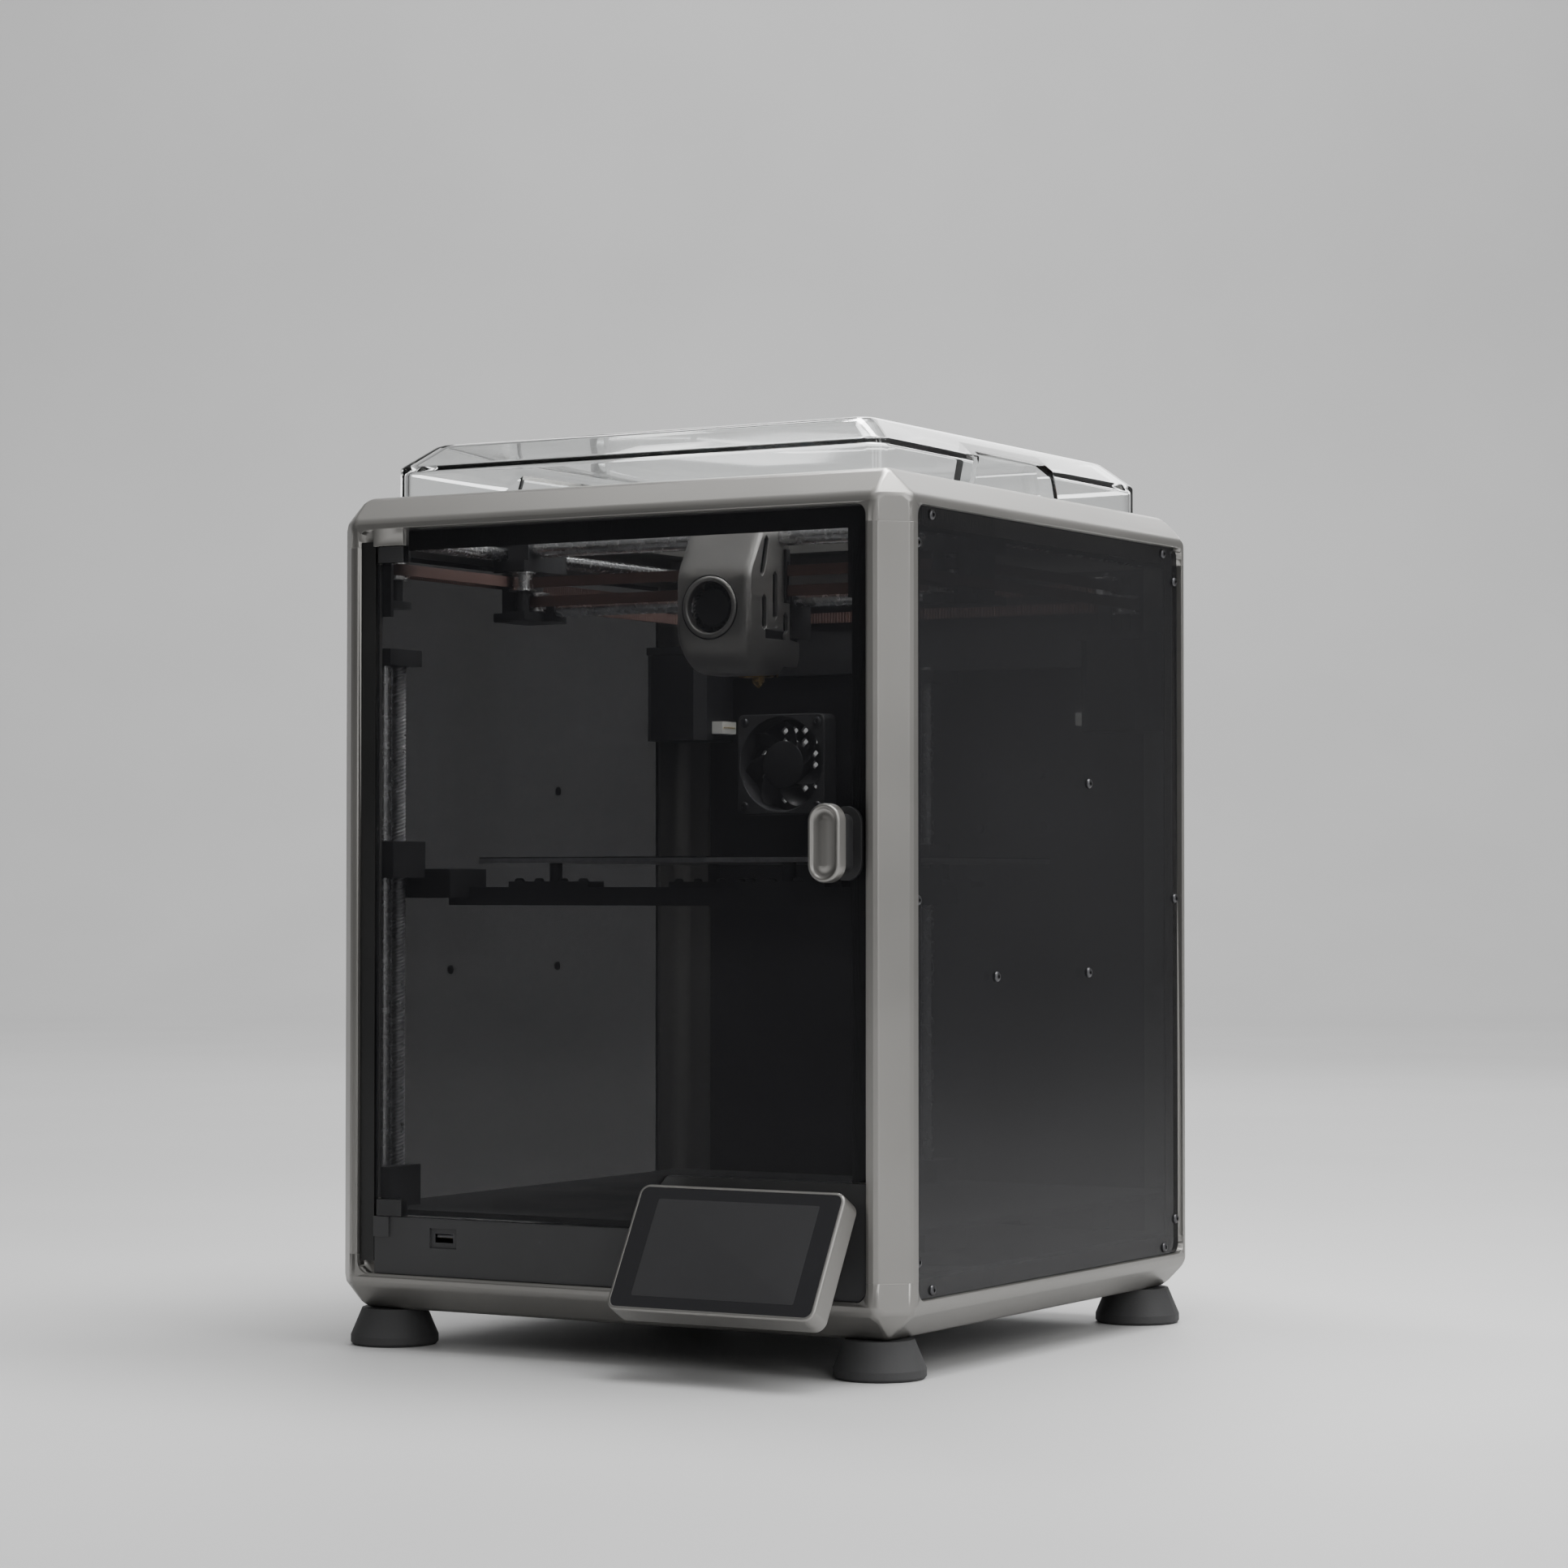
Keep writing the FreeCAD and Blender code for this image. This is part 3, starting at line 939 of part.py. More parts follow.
def bed_plate_nodes():
    wide = around("0", "bed_half")
    deep = around("bed_y", "bed_half")
    node("bed_plate", rounded("plate", "XY", wide, deep, ("bed_top - bed_thick", "bed_top"), "bed_round"))
    level = ("bed_top", "bed_top + sheet_thick")
    mat = rounded("mat", "XY", wide, deep, level, "bed_round")
    tab = block("mat_tab", around("0", "tab_half"),
                ("bed_y - bed_half - tab_reach", "bed_y - bed_half + past"), level)
    node("build_sheet", fuse("mat_whole", mat, tab))
    standoffs = []
    for word, side in SIDES:
        x = f"{side} * rail_x"
        for end, y in (("front", "-beam_y"), ("back", "back_y")):
            plate = block(f"standoff_plate_{end}_{word}", around(x, "standoff_half"), around(y, "rail_half"),
                          ("frame_high", "frame_high + standoff_plate"))
            post = rod(f"standoff_{end}_{word}", "standoff_r", (x, y), ("frame_high", "bed_top - bed_thick"))
            standoffs.append(fuse(f"standoff_whole_{end}_{word}", plate, post))
    node("bed_standoffs", *standoffs)


def bed_frame_node():
    """The carrier under the plate: two beams, two rails and a slider at each lead screw."""
    level = ("frame_low", "frame_high")
    slide = ("slider_low", "slider_top")
    pieces = [
        block("front_beam", around("0", "frame_half"), around("-beam_y", "rail_half"), level),
        block("back_beam", around("0", "rail_x + rail_half"), around("back_y", "rail_half"), level),
        block("rear_arm", around("0", "rear_arm_half"), ("back_y", "rear_arm_back"),
              ("frame_high", "rear_arm_high")),
        block("rear_slider", around("0", "rear_slider_half"), around("rear_screw_y", "rear_arm_half"), slide),
    ]
    through = ("frame_low", "slider_top + bite")
    bores = [rod(f"nut_bore_{word}", "screw_bore", (x, y), through) for word, x, y in screw_places()]
    for word, side in SIDES:
        pieces.append(block(f"side_rail_{word}", around(f"{side} * rail_x", "rail_half"),
                            ("-beam_y", "back_y"), level))
        pieces.append(block(f"corner_arm_{word}", span(side, "arm_in", "arm_out"),
                            ("-arm_front", "-beam_y + rail_half"), ("arm_low", "arm_high")))
        pieces.append(block(f"slider_{word}", span(side, "slider_in", "slider_out"),
                            ("-slider_front", "-slider_back"), slide))
        for end, at in (("front", (f"{side} * screw_x", "-guide_y")),
                        ("rear", (f"{side} * rear_guide_x", "rear_screw_y"))):
            bores.append(rod(f"{end}_slide_bore_{word}", "guide_r + run_gap", at, through))
    node("bed_frame", cut("carrier_cut", fuse("carrier", *pieces), *bores))


# ---------------------------------------------------------------- rear and electronics

def rear_nodes():
    """Mains inlet with three prongs, and the rocker in its frame."""
    case = block("inlet_case", around("inlet_x", "inlet_half"),
                 ("panel_face - inlet_deep", "panel_face + bite"), around("inlet_z", "inlet_tall"))
    socket = block("inlet_socket", around("inlet_x", "inlet_half - inlet_lip"),
                   ("panel_face - socket_deep", "panel_face + inlet_lip"), around("inlet_z", "socket_tall"))
    prongs = []
    for word, shift, lift in (("left", "-prong_x", "-prong_drop"), ("right", "prong_x", "-prong_drop"),
                              ("middle", "0", "prong_lift")):
        prongs.append(block(f"inlet_prong_{word}", around(f"inlet_x + {shift}", "prong_half"),
                            ("panel_face - socket_deep - bite", "panel_face - inlet_lip"),
                            around(f"inlet_z + {lift}", "prong_tall")))
    bezel = block("switch_bezel", around("rocker_x", "bezel_wide"),
                  ("panel_face - bezel_deep", "panel_face + bite"), around("inlet_z", "bezel_tall"))
    well = block("switch_well", around("rocker_x", "well_wide"),
                 ("panel_face - well_deep", "panel_face + past"), around("inlet_z", "well_tall"))
    node("power_inlet", fuse("inlet", cut("inlet_can", case, socket), *prongs), cut("switch_can", bezel, well))
    low = "inlet_z - rocker_tall"
    high = "inlet_z + rocker_tall"
    face = [("panel_face - rocker_root", low), ("panel_face + rocker_off", low),
            ("panel_face - rocker_dip", "inlet_z"), ("panel_face + rocker_on", high),
            ("panel_face - rocker_heel", high)]
    node("power_switch", padded("rocker", "YZ", face, around("rocker_x", "rocker_wide")))


def electronics_nodes():
    base = "cover_low + cover_skin"
    node("power_supply", block("supply", around("supply_x", "supply_half"), ("-supply_front", "supply_back"),
                               (base, "supply_top")))
    parts = [block("board_sheet", around("board_x", "board_half"), around("board_y", "board_half"),
                   ("board_low", "board_top"))]
    for place in (-1, 0, 1):
        parts.append(block(f"chip_{place + 1}", around(f"board_x + {place} * chip_pitch", "chip_half"),
                           around("chip_y", "chip_half"), ("board_top", "chip_top")))
    for across in (-1, 1):
        for along in (-1, 1):
            at = (f"board_x + {across} * peg_at", f"board_y + {along} * peg_at")
            parts.append(rod(f"board_peg_{across + 1}_{along + 1}", "peg_r", at, (base, "board_low")))
    node("mainboard", fuse("board", *parts))


# ---------------------------------------------------------------- the whole printer

for build in (frame_nodes, panel_nodes, panel_screws, front_nodes, door_nodes, display_nodes, feet_node, lid_node,
              belt_nodes, pulley_nodes, gantry_nodes, guide_nodes, holder_nodes, drive_nodes, height_nodes,
              z_belt_node, head_nodes, rotor_nodes, bed_plate_nodes, bed_frame_node, rear_nodes,
              electronics_nodes):
    build()
document.recompute()

for thing in document.Objects:
    if "Invalid" in thing.State or "Error" in thing.State:
        raise RuntimeError(f"{thing.Name} failed: {thing.State}")
os.makedirs("parts", exist_ok=True)
for sub_part in nodes:
    if sub_part.Shape.isNull() or not sub_part.Shape.isValid():
        raise RuntimeError(f"{sub_part.Label} has no valid shape")
    sub_part.Shape.exportStep(f"parts/{sub_part.Label}.step")
    print(sub_part.Label, len(sub_part.Shape.Solids), round(sub_part.Shape.Volume))
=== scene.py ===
import itertools
import json
import math
import bmesh
import bpy
from mathutils import Matrix, Vector


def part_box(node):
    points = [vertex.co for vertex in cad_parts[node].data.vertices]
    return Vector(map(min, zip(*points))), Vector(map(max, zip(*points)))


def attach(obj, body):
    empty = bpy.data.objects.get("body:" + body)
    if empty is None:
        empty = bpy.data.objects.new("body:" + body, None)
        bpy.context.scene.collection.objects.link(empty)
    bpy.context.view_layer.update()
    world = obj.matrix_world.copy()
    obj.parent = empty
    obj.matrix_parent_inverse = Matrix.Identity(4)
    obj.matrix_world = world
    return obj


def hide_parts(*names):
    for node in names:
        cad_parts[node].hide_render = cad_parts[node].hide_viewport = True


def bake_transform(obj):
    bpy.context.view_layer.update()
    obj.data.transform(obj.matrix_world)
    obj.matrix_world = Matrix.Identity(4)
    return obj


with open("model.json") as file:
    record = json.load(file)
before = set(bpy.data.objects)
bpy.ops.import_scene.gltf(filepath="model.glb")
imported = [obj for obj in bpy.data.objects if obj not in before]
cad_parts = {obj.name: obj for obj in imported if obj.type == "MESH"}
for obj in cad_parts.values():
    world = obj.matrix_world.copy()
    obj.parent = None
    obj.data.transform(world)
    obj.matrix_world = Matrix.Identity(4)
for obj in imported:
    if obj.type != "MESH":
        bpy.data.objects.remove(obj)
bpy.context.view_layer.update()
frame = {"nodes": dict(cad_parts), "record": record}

# An enclosed core-XY printer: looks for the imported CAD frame. Metres, +Z up, front towards -Y.
MM = 0.001
SAME_PLACE = 0.001 * MM
NODES = frame["nodes"]


# ---------------------------------------------------------------- places read from the frame

def low(node):
    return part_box(node)[0]


def high(node):
    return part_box(node)[1]


def middle(node):
    return (low(node) + high(node)) / 2


def span(node):
    return high(node) - low(node)


BODY = middle("side_panel_left").y
AXIS_X = Vector((1, 0, 0))
AXIS_Y = Vector((0, 1, 0))
AXIS_Z = Vector((0, 0, 1))


# ---------------------------------------------------------------- materials

def material(name, colour, metallic=0.0, roughness=0.5, alpha=1.0):
    mat = bpy.data.materials.new(name)
    mat.use_nodes = True
    shader = mat.node_tree.nodes["Principled BSDF"]
    shader.inputs["Base Color"].default_value = (*colour, 1)
    shader.inputs["Metallic"].default_value = metallic
    shader.inputs["Roughness"].default_value = roughness
    shader.inputs["Alpha"].default_value = alpha
    return mat


def add(mat, kind, **sockets):
    node = mat.node_tree.nodes.new(kind)
    for name, value in sockets.items():
        node.inputs[name.replace("_", " ")].default_value = value
    return node


def join(mat, source, target, out=0, into=0):
    mat.node_tree.links.new(source.outputs[out], target.inputs[into])


def surface_noise(mat, scale, detail=3.0):
    """Noise in the object's own coordinates, so that it stays on the piece as it moves."""
    coords = add(mat, "ShaderNodeTexCoord")
    noise = add(mat, "ShaderNodeTexNoise", Scale=scale, Detail=detail)
    join(mat, coords, noise, "Object", "Vector")
    return noise


def shader_of(mat):
    return mat.node_tree.nodes["Principled BSDF"]


def vary_colour(mat, noise, dark, light):
    ramp = add(mat, "ShaderNodeValToRGB")
    ramp.color_ramp.elements[0].position = 0.35
    ramp.color_ramp.elements[0].color = (*dark, 1)
    ramp.color_ramp.elements[1].position = 0.65
    ramp.color_ramp.elements[1].color = (*light, 1)
    join(mat, noise, ramp, "Fac", "Fac")
    join(mat, ramp, shader_of(mat), "Color", "Base Color")


def vary_roughness(mat, noise, least, most):
    spread = add(mat, "ShaderNodeMapRange")
    spread.inputs["From Min"].default_value = 0.3
    spread.inputs["From Max"].default_value = 0.7
    spread.inputs["To Min"].default_value = least
    spread.inputs["To Max"].default_value = most
    join(mat, noise, spread, "Fac", "Value")
    join(mat, spread, shader_of(mat), "Result", "Roughness")


def emboss(mat, noise, strength, distance, rim):
    """A fine bump, over edges softened by rim metres."""
    bump = add(mat, "ShaderNodeBump", Strength=strength, Distance=distance)
    soft = add(mat, "ShaderNodeBevel", Radius=rim)
    soft.samples = 4
    join(mat, noise, bump, "Fac", "Height")
    join(mat, soft, bump, "Normal", "Normal")
    join(mat, bump, shader_of(mat), "Normal", "Normal")


def satin_metal(name, dark, light, rough):
    """Painted or brushed metal with a soft sheen."""
    mat = material(name, light, metallic=0.85, roughness=rough[0])
    grain = surface_noise(mat, 900)
    cloud = surface_noise(mat, 6)
    vary_colour(mat, cloud, dark, light)
    vary_roughness(mat, cloud, *rough)
    emboss(mat, grain, 0.10, 0.06 * MM, rim=0.5 * MM)
    return mat


def textured_plastic(name, dark, light, rough, grain=1400, depth=0.08 * MM):
    mat = material(name, light, roughness=rough[0])
    fine = surface_noise(mat, grain)
    cloud = surface_noise(mat, 14)
    vary_colour(mat, cloud, dark, light)
    vary_roughness(mat, cloud, *rough)
    emboss(mat, fine, 0.25, depth, rim=0.3 * MM)
    return mat


def dimmed(colour, part):
    return tuple(channel * part for channel in colour)


def polished_metal(name, colour, rough):
    """Bare metal, a little darker in places."""
    mat = material(name, colour, metallic=1.0, roughness=rough[0])
    noise = surface_noise(mat, 300, 4)
    vary_roughness(mat, noise, *rough)
    vary_colour(mat, noise, dimmed(colour, 0.86), colour)
    emboss(mat, noise, 0.06, 0.03 * MM, rim=0.2 * MM)
    return mat


def tinted(name, colour, alpha, rough=0.04, gloss=0.5):
    """Smoke-tinted sheet: see-through, with faint smears in its gloss."""
    mat = material(name, colour, roughness=rough, alpha=alpha)
    smear = surface_noise(mat, 9, 5)
    vary_roughness(mat, smear, rough, rough * 2.2)
    vary_colour(mat, smear, dimmed(colour, 0.8), colour)
    shader_of(mat).inputs["Specular IOR Level"].default_value = gloss
    return mat


def clear_sheet(name, colour):
    """Clear cast plastic that lamps shine through."""
    mat = material(name, colour, roughness=0.02)
    shader = shader_of(mat)
    shader.inputs["Transmission Weight"].default_value = 1.0
    shader.inputs["IOR"].default_value = 1.47
    smear = surface_noise(mat, 7, 4)
    vary_roughness(mat, smear, 0.01, 0.035)
    output = mat.node_tree.nodes["Material Output"]
    path = add(mat, "ShaderNodeLightPath")
    passing = add(mat, "ShaderNodeBsdfTransparent")
    passing.inputs["Color"].default_value = (0.93, 0.94, 0.94, 1)
    mix = add(mat, "ShaderNodeMixShader")
    join(mat, path, mix, "Is Shadow Ray", 0)
    join(mat, shader, mix, "BSDF", 1)
    join(mat, passing, mix, "BSDF", 2)
    join(mat, mix, output, "Shader", "Surface")
    return mat


def circuit_green(name):
    mat = material(name, (0.02, 0.14, 0.06), roughness=0.35)
    coords = add(mat, "ShaderNodeTexCoord")
    tracks = add(mat, "ShaderNodeTexBrick", Scale=160.0)
    tracks.inputs["Color1"].default_value = (0.015, 0.11, 0.05, 1)
    tracks.inputs["Color2"].default_value = (0.02, 0.16, 0.07, 1)
    tracks.inputs["Mortar"].default_value = (0.04, 0.24, 0.10, 1)
    join(mat, coords, tracks, "Object", "Vector")
    join(mat, tracks, shader_of(mat), "Color", "Base Color")
    return mat


def grey(value, blue=0.001):
    """A near-neutral colour with a little more blue."""
    return value, value, value + blue


MATS = {
    # satin_frame: the base colour is darker than the silver paint itself, as painted shade for the shadow the
    # enclosure casts over the frame.
    "satin_frame": satin_metal("satin_frame", (0.255, 0.249, 0.237), (0.285, 0.278, 0.265), (0.32, 0.40)),
    "black_panel": textured_plastic("black_panel", grey(0.012), grey(0.020), (0.45, 0.6)),
    "dark_plastic": textured_plastic("dark_plastic", grey(0.030), grey(0.038, 0.002), (0.42, 0.55)),
    "black_plastic": textured_plastic("black_plastic", grey(0.012), grey(0.022), (0.38, 0.55)),
    "foot_rubber": textured_plastic("foot_rubber", grey(0.036), grey(0.052), (0.6, 0.8), 700, 0.2 * MM),
    "belt_rubber": textured_plastic("belt_rubber", (0.075, 0.038, 0.030), (0.10, 0.052, 0.042), (0.6, 0.75),
                                    900, 0.1 * MM),
    "screen_glass": tinted("screen_glass", grey(0.010, 0.002), 1.0, 0.05),
    "screw_steel": polished_metal("screw_steel", grey(0.10, 0.005), (0.28, 0.42)),
    "chrome_rod": polished_metal("chrome_rod", grey(0.84, 0.01), (0.22, 0.30)),
    "steel": polished_metal("steel", grey(0.66, 0.01), (0.25, 0.4)),
    "idler_alloy": polished_metal("idler_alloy", grey(0.86, 0), (0.20, 0.30)),
    "motor_body": textured_plastic("motor_body", grey(0.010), grey(0.018), (0.32, 0.45)),
    "brass": polished_metal("brass", (0.72, 0.50, 0.20), (0.22, 0.34)),
    "bed_alloy": polished_metal("bed_alloy", grey(0.62, 0.01), (0.32, 0.45)),
    "print_surface": textured_plastic("print_surface", grey(0.018), grey(0.030), (0.5, 0.7), 2600, 0.2 * MM),
    "bed_carrier": textured_plastic("bed_carrier", grey(0.012), grey(0.020), (0.4, 0.55)),
    "rocker_plastic": textured_plastic("rocker_plastic", grey(0.010), grey(0.016), (0.2, 0.3)),
    "circuit_board": circuit_green("circuit_board"),
    "smoke_door": tinted("smoke_door", grey(0.018, 0.002), 0.46, gloss=0.22),
    "smoke_panel": tinted("smoke_panel", grey(0.014, 0.002), 0.66, gloss=0.25),
    "clear_lid": clear_sheet("clear_lid", (0.96, 0.97, 0.97)),
}
HEAD_SATIN = satin_metal("head_satin", (0.46, 0.448, 0.43), (0.50, 0.488, 0.47), (0.30, 0.38))
INK = textured_plastic("printed_border", grey(0.005, 0), grey(0.008, 0), (0.35, 0.45), 300, 0.02 * MM)
GOLD = polished_metal("gold_contact", (0.86, 0.62, 0.22), (0.15, 0.25))
WHITE = textured_plastic("white_plastic", (0.62, 0.61, 0.58), (0.70, 0.69, 0.66), (0.35, 0.5))
SCREEN = tinted("screen_panel", grey(0.030, 0.002), 1.0, 0.12)
OWN_LOOKS = {"usb_port": MATS["screw_steel"], "door_trim": INK}


def paint_frame():
    """Every CAD node gets its slot's material, or a darker one of its own."""
    slots = {item["node"]: item["material_slot"] for item in frame["record"]["subparts"]}
    for name, thing in NODES.items():
        thing.data.materials.clear()
        thing.data.materials.append(OWN_LOOKS.get(name, MATS[slots[name]]))


# ---------------------------------------------------------------- mesh helpers

def loose_mesh(name, shape):
    """Turns a bmesh into mesh data with its faces outward."""
    bmesh.ops.recalc_face_normals(shape, faces=shape.faces)
    data = bpy.data.meshes.new(name)
    shape.to_mesh(data)
    shape.free()
    return data


def new_piece(name, shape, mat, body, stands_for=(), smooth=40):
    """Turns a bmesh into a piece, which rides on a body if one is given."""
    bmesh.ops.remove_doubles(shape, verts=shape.verts, dist=SAME_PLACE / 10)
    data = loose_mesh(name, shape)
    piece = bpy.data.objects.new(name, data)
    bpy.context.scene.collection.objects.link(piece)
    data.materials.append(mat)
    crisp(piece, smooth)
    if stands_for:
        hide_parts(*stands_for)
    if body:
        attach(piece, body)
    return piece


def combined(piece, cutter, operation):
    """Applies one exact boolean of a closed mesh to a piece."""
    other = bpy.data.objects.new("cutter", cutter)
    bpy.context.scene.collection.objects.link(other)
    tool = piece.modifiers.new("combine", "BOOLEAN")
    tool.object = other
    tool.operation = operation
    tool.solver = "EXACT"
    bpy.context.view_layer.update()
    ready = piece.evaluated_get(bpy.context.evaluated_depsgraph_get())
    result = bpy.data.meshes.new_from_object(ready)
    piece.modifiers.clear()
    piece.data = result
    bpy.data.objects.remove(other)


def carved(piece, *cutters):
    """Cuts closed shapes out of a piece for good."""
    for cutter in cutters:
        combined(piece, loose_mesh("cutter", cutter), "DIFFERENCE")


def crisp(piece, smooth):
    """Smooth shading with sharp edges above an angle in degrees."""
    piece.data.shade_smooth()
    piece.data.set_sharp_from_angle(angle=math.radians(smooth))


def basis(axis):
    """Two directions across an axis."""
    across = AXIS_X if abs(axis.x) < 0.9 else AXIS_Y
    first = (across - axis * across.dot(axis)).normalized()
    return first, axis.cross(first)


def turned(pair, turn):
    """The direction at an angle from the first of a pair of directions towards the second."""
    return pair[0] * math.cos(turn) + pair[1] * math.sin(turn)


def in_mm(pairs):
    """Pairs of millimetres as metres."""
    return [(first * MM, second * MM) for first, second in pairs]


def lathe_rings(shape, profile, centre, axis, steps):
    """Corner rings of a turned form: profile is (radius, height along the axis)."""
    pair = basis(axis)
    return [[shape.verts.new(centre + turned(pair, 2 * math.pi * step / steps) * radius + axis * rise)
             for step in range(steps)] for radius, rise in profile]


def band(shape, ring, other):
    """Faces between two rings of corners."""
    count = len(ring)
    for step in range(count):
        after = (step + 1) % count
        shape.faces.new((ring[step], ring[after], other[after], other[step]))


def lathe(shape, profile, centre, axis=AXIS_Z, steps=48):
    """Adds a turned solid to a bmesh, closed at both ends of its profile."""
    rings = lathe_rings(shape, profile, centre, axis, steps)
    for lower, upper in zip(rings, rings[1:]):
        band(shape, lower, upper)
    shape.faces.new(list(reversed(rings[0])))
    shape.faces.new(rings[-1])
    return shape


def lathe_open(shape, profile, centre, axis=AXIS_Z, steps=48):
    """Adds a turned ring, whose profile closes on itself."""
    rings = lathe_rings(shape, profile, centre, axis, steps)
    for lower, upper in zip(rings, rings[1:] + rings[:1]):
        band(shape, lower, upper)
    return shape


def box_between(shape, start, end):
    """Adds a block to a bmesh."""
    size = end - start
    place = Matrix.Translation((start + end) / 2) @ Matrix.Diagonal((*size, 1))
    bmesh.ops.create_cube(shape, size=1, matrix=place)


def rounded_loop(centre, first, second, half_wide, half_tall, radius, steps=8):
    """Corner points of a rounded rectangle in the plane of two directions."""
    loop = []
    for quarter, (sx, sy) in enumerate(((1, 1), (-1, 1), (-1, -1), (1, -1))):
        for step in range(steps + 1):
            turn = math.pi / 2 * (quarter + step / steps)
            x = sx * (half_wide - radius) + math.cos(turn) * radius
            y = sy * (half_tall - radius) + math.sin(turn) * radius
            loop.append(centre + first * x + second * y)
    return loop


def skin(shape, loops, close_ends=True):
    """Joins matching loops of points into a closed skin."""
    rings = [[shape.verts.new(point) for point in loop] for loop in loops]
    for lower, upper in zip(rings, rings[1:]):
        band(shape, lower, upper)
    if close_ends:
        shape.faces.new(list(reversed(rings[0])))
        shape.faces.new(rings[-1])
    return shape


# ---------------------------------------------------------------- screws

def button_screw(shape, centre, axis, radius, rise):
    """A domed head with a hexagon socket, standing on a face."""
    pair = basis(axis)
    turns = [2 * math.pi * step / 24 for step in range(24)]
    profile = [(radius * 0.98, 0.0), (radius, rise * 0.12)]
    for step in range(1, 6):
        turn = math.pi / 2 * step / 6
        profile.append((radius * (0.45 + 0.55 * math.cos(turn)), rise * (0.12 + 0.88 * math.sin(turn))))
    loops = [[centre + turned(pair, turn) * reach + axis * lift for turn in turns] for reach, lift in profile]
    flat_reach = radius * 0.42 * math.cos(math.pi / 6)
    for lift in (rise, rise * 0.3):
        hexagon = []
        for turn in turns:
            reach = flat_reach / math.cos(abs(turn % (math.pi / 3) - math.pi / 6))
            hexagon.append(centre + turned(pair, turn) * reach + axis * lift)
        loops.append(hexagon)
    skin(shape, loops)


def screws(name, places, aim, body, radius=2.75 * MM, rise=1.6 * MM, stands_for=()):
    """Button heads at the places; aim gives the way that each one faces."""
    shape = bmesh.new()
    for place in places:
        button_screw(shape, place, aim(place), radius, rise)
    new_piece(name, shape, MATS["screw_steel"], body, stands_for, smooth=50)


# ---------------------------------------------------------------- reading separate solids of a node

def islands(node):
    """The lowest and highest corner of each separate solid of a CAD node."""
    shape = bmesh.new()
    shape.from_mesh(NODES[node].data)
    bmesh.ops.remove_doubles(shape, verts=shape.verts, dist=SAME_PLACE)
    seen = set()
    found = []
    for start in shape.verts:
        if start in seen:
            continue
        seen.add(start)
        queue = [start]
        group = []
        while queue:
            vert = queue.pop()
            group.append(vert.co.copy())
            for edge in vert.link_edges:
                other = edge.other_vert(vert)
                if other not in seen:
                    seen.add(other)
                    queue.append(other)
        lowest = Vector([min(point[axis] for point in group) for axis in range(3)])
        highest = Vector([max(point[axis] for point in group) for axis in range(3)])
        found.append((lowest, highest))
    shape.free()
    return sorted(found, key=lambda pair: tuple(round(part, 4) for part in pair[0]))


# ---------------------------------------------------------------- frame with softened edges

FRAME_NODES = ("top_frame", "bottom_frame", "front_posts", "rear_posts")
FRAME_SOFTNESS = 8 * MM
LEAST_SIDE = 300 * MM * MM
LEAST_SKEW = 0.05
HULL_SLACK = 0.02 * MM


def outer_planes():
    """Normal, distance and area of every flat side of the frame's envelope."""
    shape = bmesh.new()
    for node in FRAME_NODES:
        shape.from_mesh(NODES[node].data)
    hull = bmesh.ops.convex_hull(shape, input=shape.verts)
    sides = {}
    centre = sum((vert.co for vert in shape.verts), Vector()) / len(shape.verts)
    for face in hull["geom"]:
        if not isinstance(face, bmesh.types.BMFace):
            continue
        normal = face.normal.copy()
        spot = face.calc_center_median()
        if normal.dot(spot - centre) < 0:
            normal.negate()
        key = tuple(round(part, 2) for part in normal)
        area = face.calc_area()
        if key not in sides or sides[key][2] < area:
            sides[key] = (normal, normal.dot(spot), area)
    shape.free()
    return [(normal, reach) for normal, reach, area in sides.values() if area > LEAST_SIDE]


def inner_corners(planes, inset):
    """Corners of the envelope moved inward by a distance."""
    corners = []
    for first, second, third in itertools.combinations(planes, 3):
        rows = Matrix((first[0], second[0], third[0]))
        if abs(rows.determinant()) < LEAST_SKEW:
            continue
        corner = rows.inverted() @ Vector((first[1] - inset, second[1] - inset, third[1] - inset))
        if all(normal.dot(corner) <= reach - inset + HULL_SLACK / 2 for normal, reach in planes):
            corners.append(corner)
    return corners


def soft_hull(softness):
    """The frame's outer envelope with its edges and corners rounded."""
    planes = outer_planes()
    shape = bmesh.new()
    ball = bmesh.new()
    bmesh.ops.create_icosphere(ball, subdivisions=3, radius=1)
    turns = [vert.co.copy() for vert in ball.verts] + [normal for normal, reach in planes]
    ball.free()
    for corner in inner_corners(planes, softness):
        for turn in turns:
            shape.verts.new(corner + turn * (softness + HULL_SLACK))
    hull = bmesh.ops.convex_hull(shape, input=shape.verts)
    left_over = hull["geom_interior"] + hull["geom_unused"]
    spare = {item for item in left_over if isinstance(item, bmesh.types.BMVert)}
    bmesh.ops.delete(shape, geom=list(spare), context="VERTS")
    return shape


def frame_pieces():
    """The frame's own meshes, cut to the rounded envelope."""
    envelope = loose_mesh("envelope", soft_hull(FRAME_SOFTNESS))
    for node in FRAME_NODES:
        shape = bmesh.new()
        shape.from_mesh(NODES[node].data)
        bmesh.ops.remove_doubles(shape, verts=shape.verts, dist=SAME_PLACE)
        piece = new_piece(f"{node}_soft", shape, MATS["satin_frame"], None, (node,))
        combined(piece, envelope, "INTERSECT")
        crisp(piece, 25)
        flats = piece.modifiers.new("flats", "WEIGHTED_NORMAL")
        flats.keep_sharp = True
        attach(piece, "chassis")


# ---------------------------------------------------------------- toothed belts

BELT_MID_R = 6.75 * MM
BELT_HALF_WIDE = 3 * MM
BELT_BACK = 0.70 * MM
BELT_ROOT = 0.05 * MM
BELT_TIP = 0.70 * MM
TOOTH_STEP = 0.5 * MM
BELT_PULLEYS = ("motor_pulley", "front_idler", "rear_idler", "carriage_front_idler", "carriage_rear_idler")


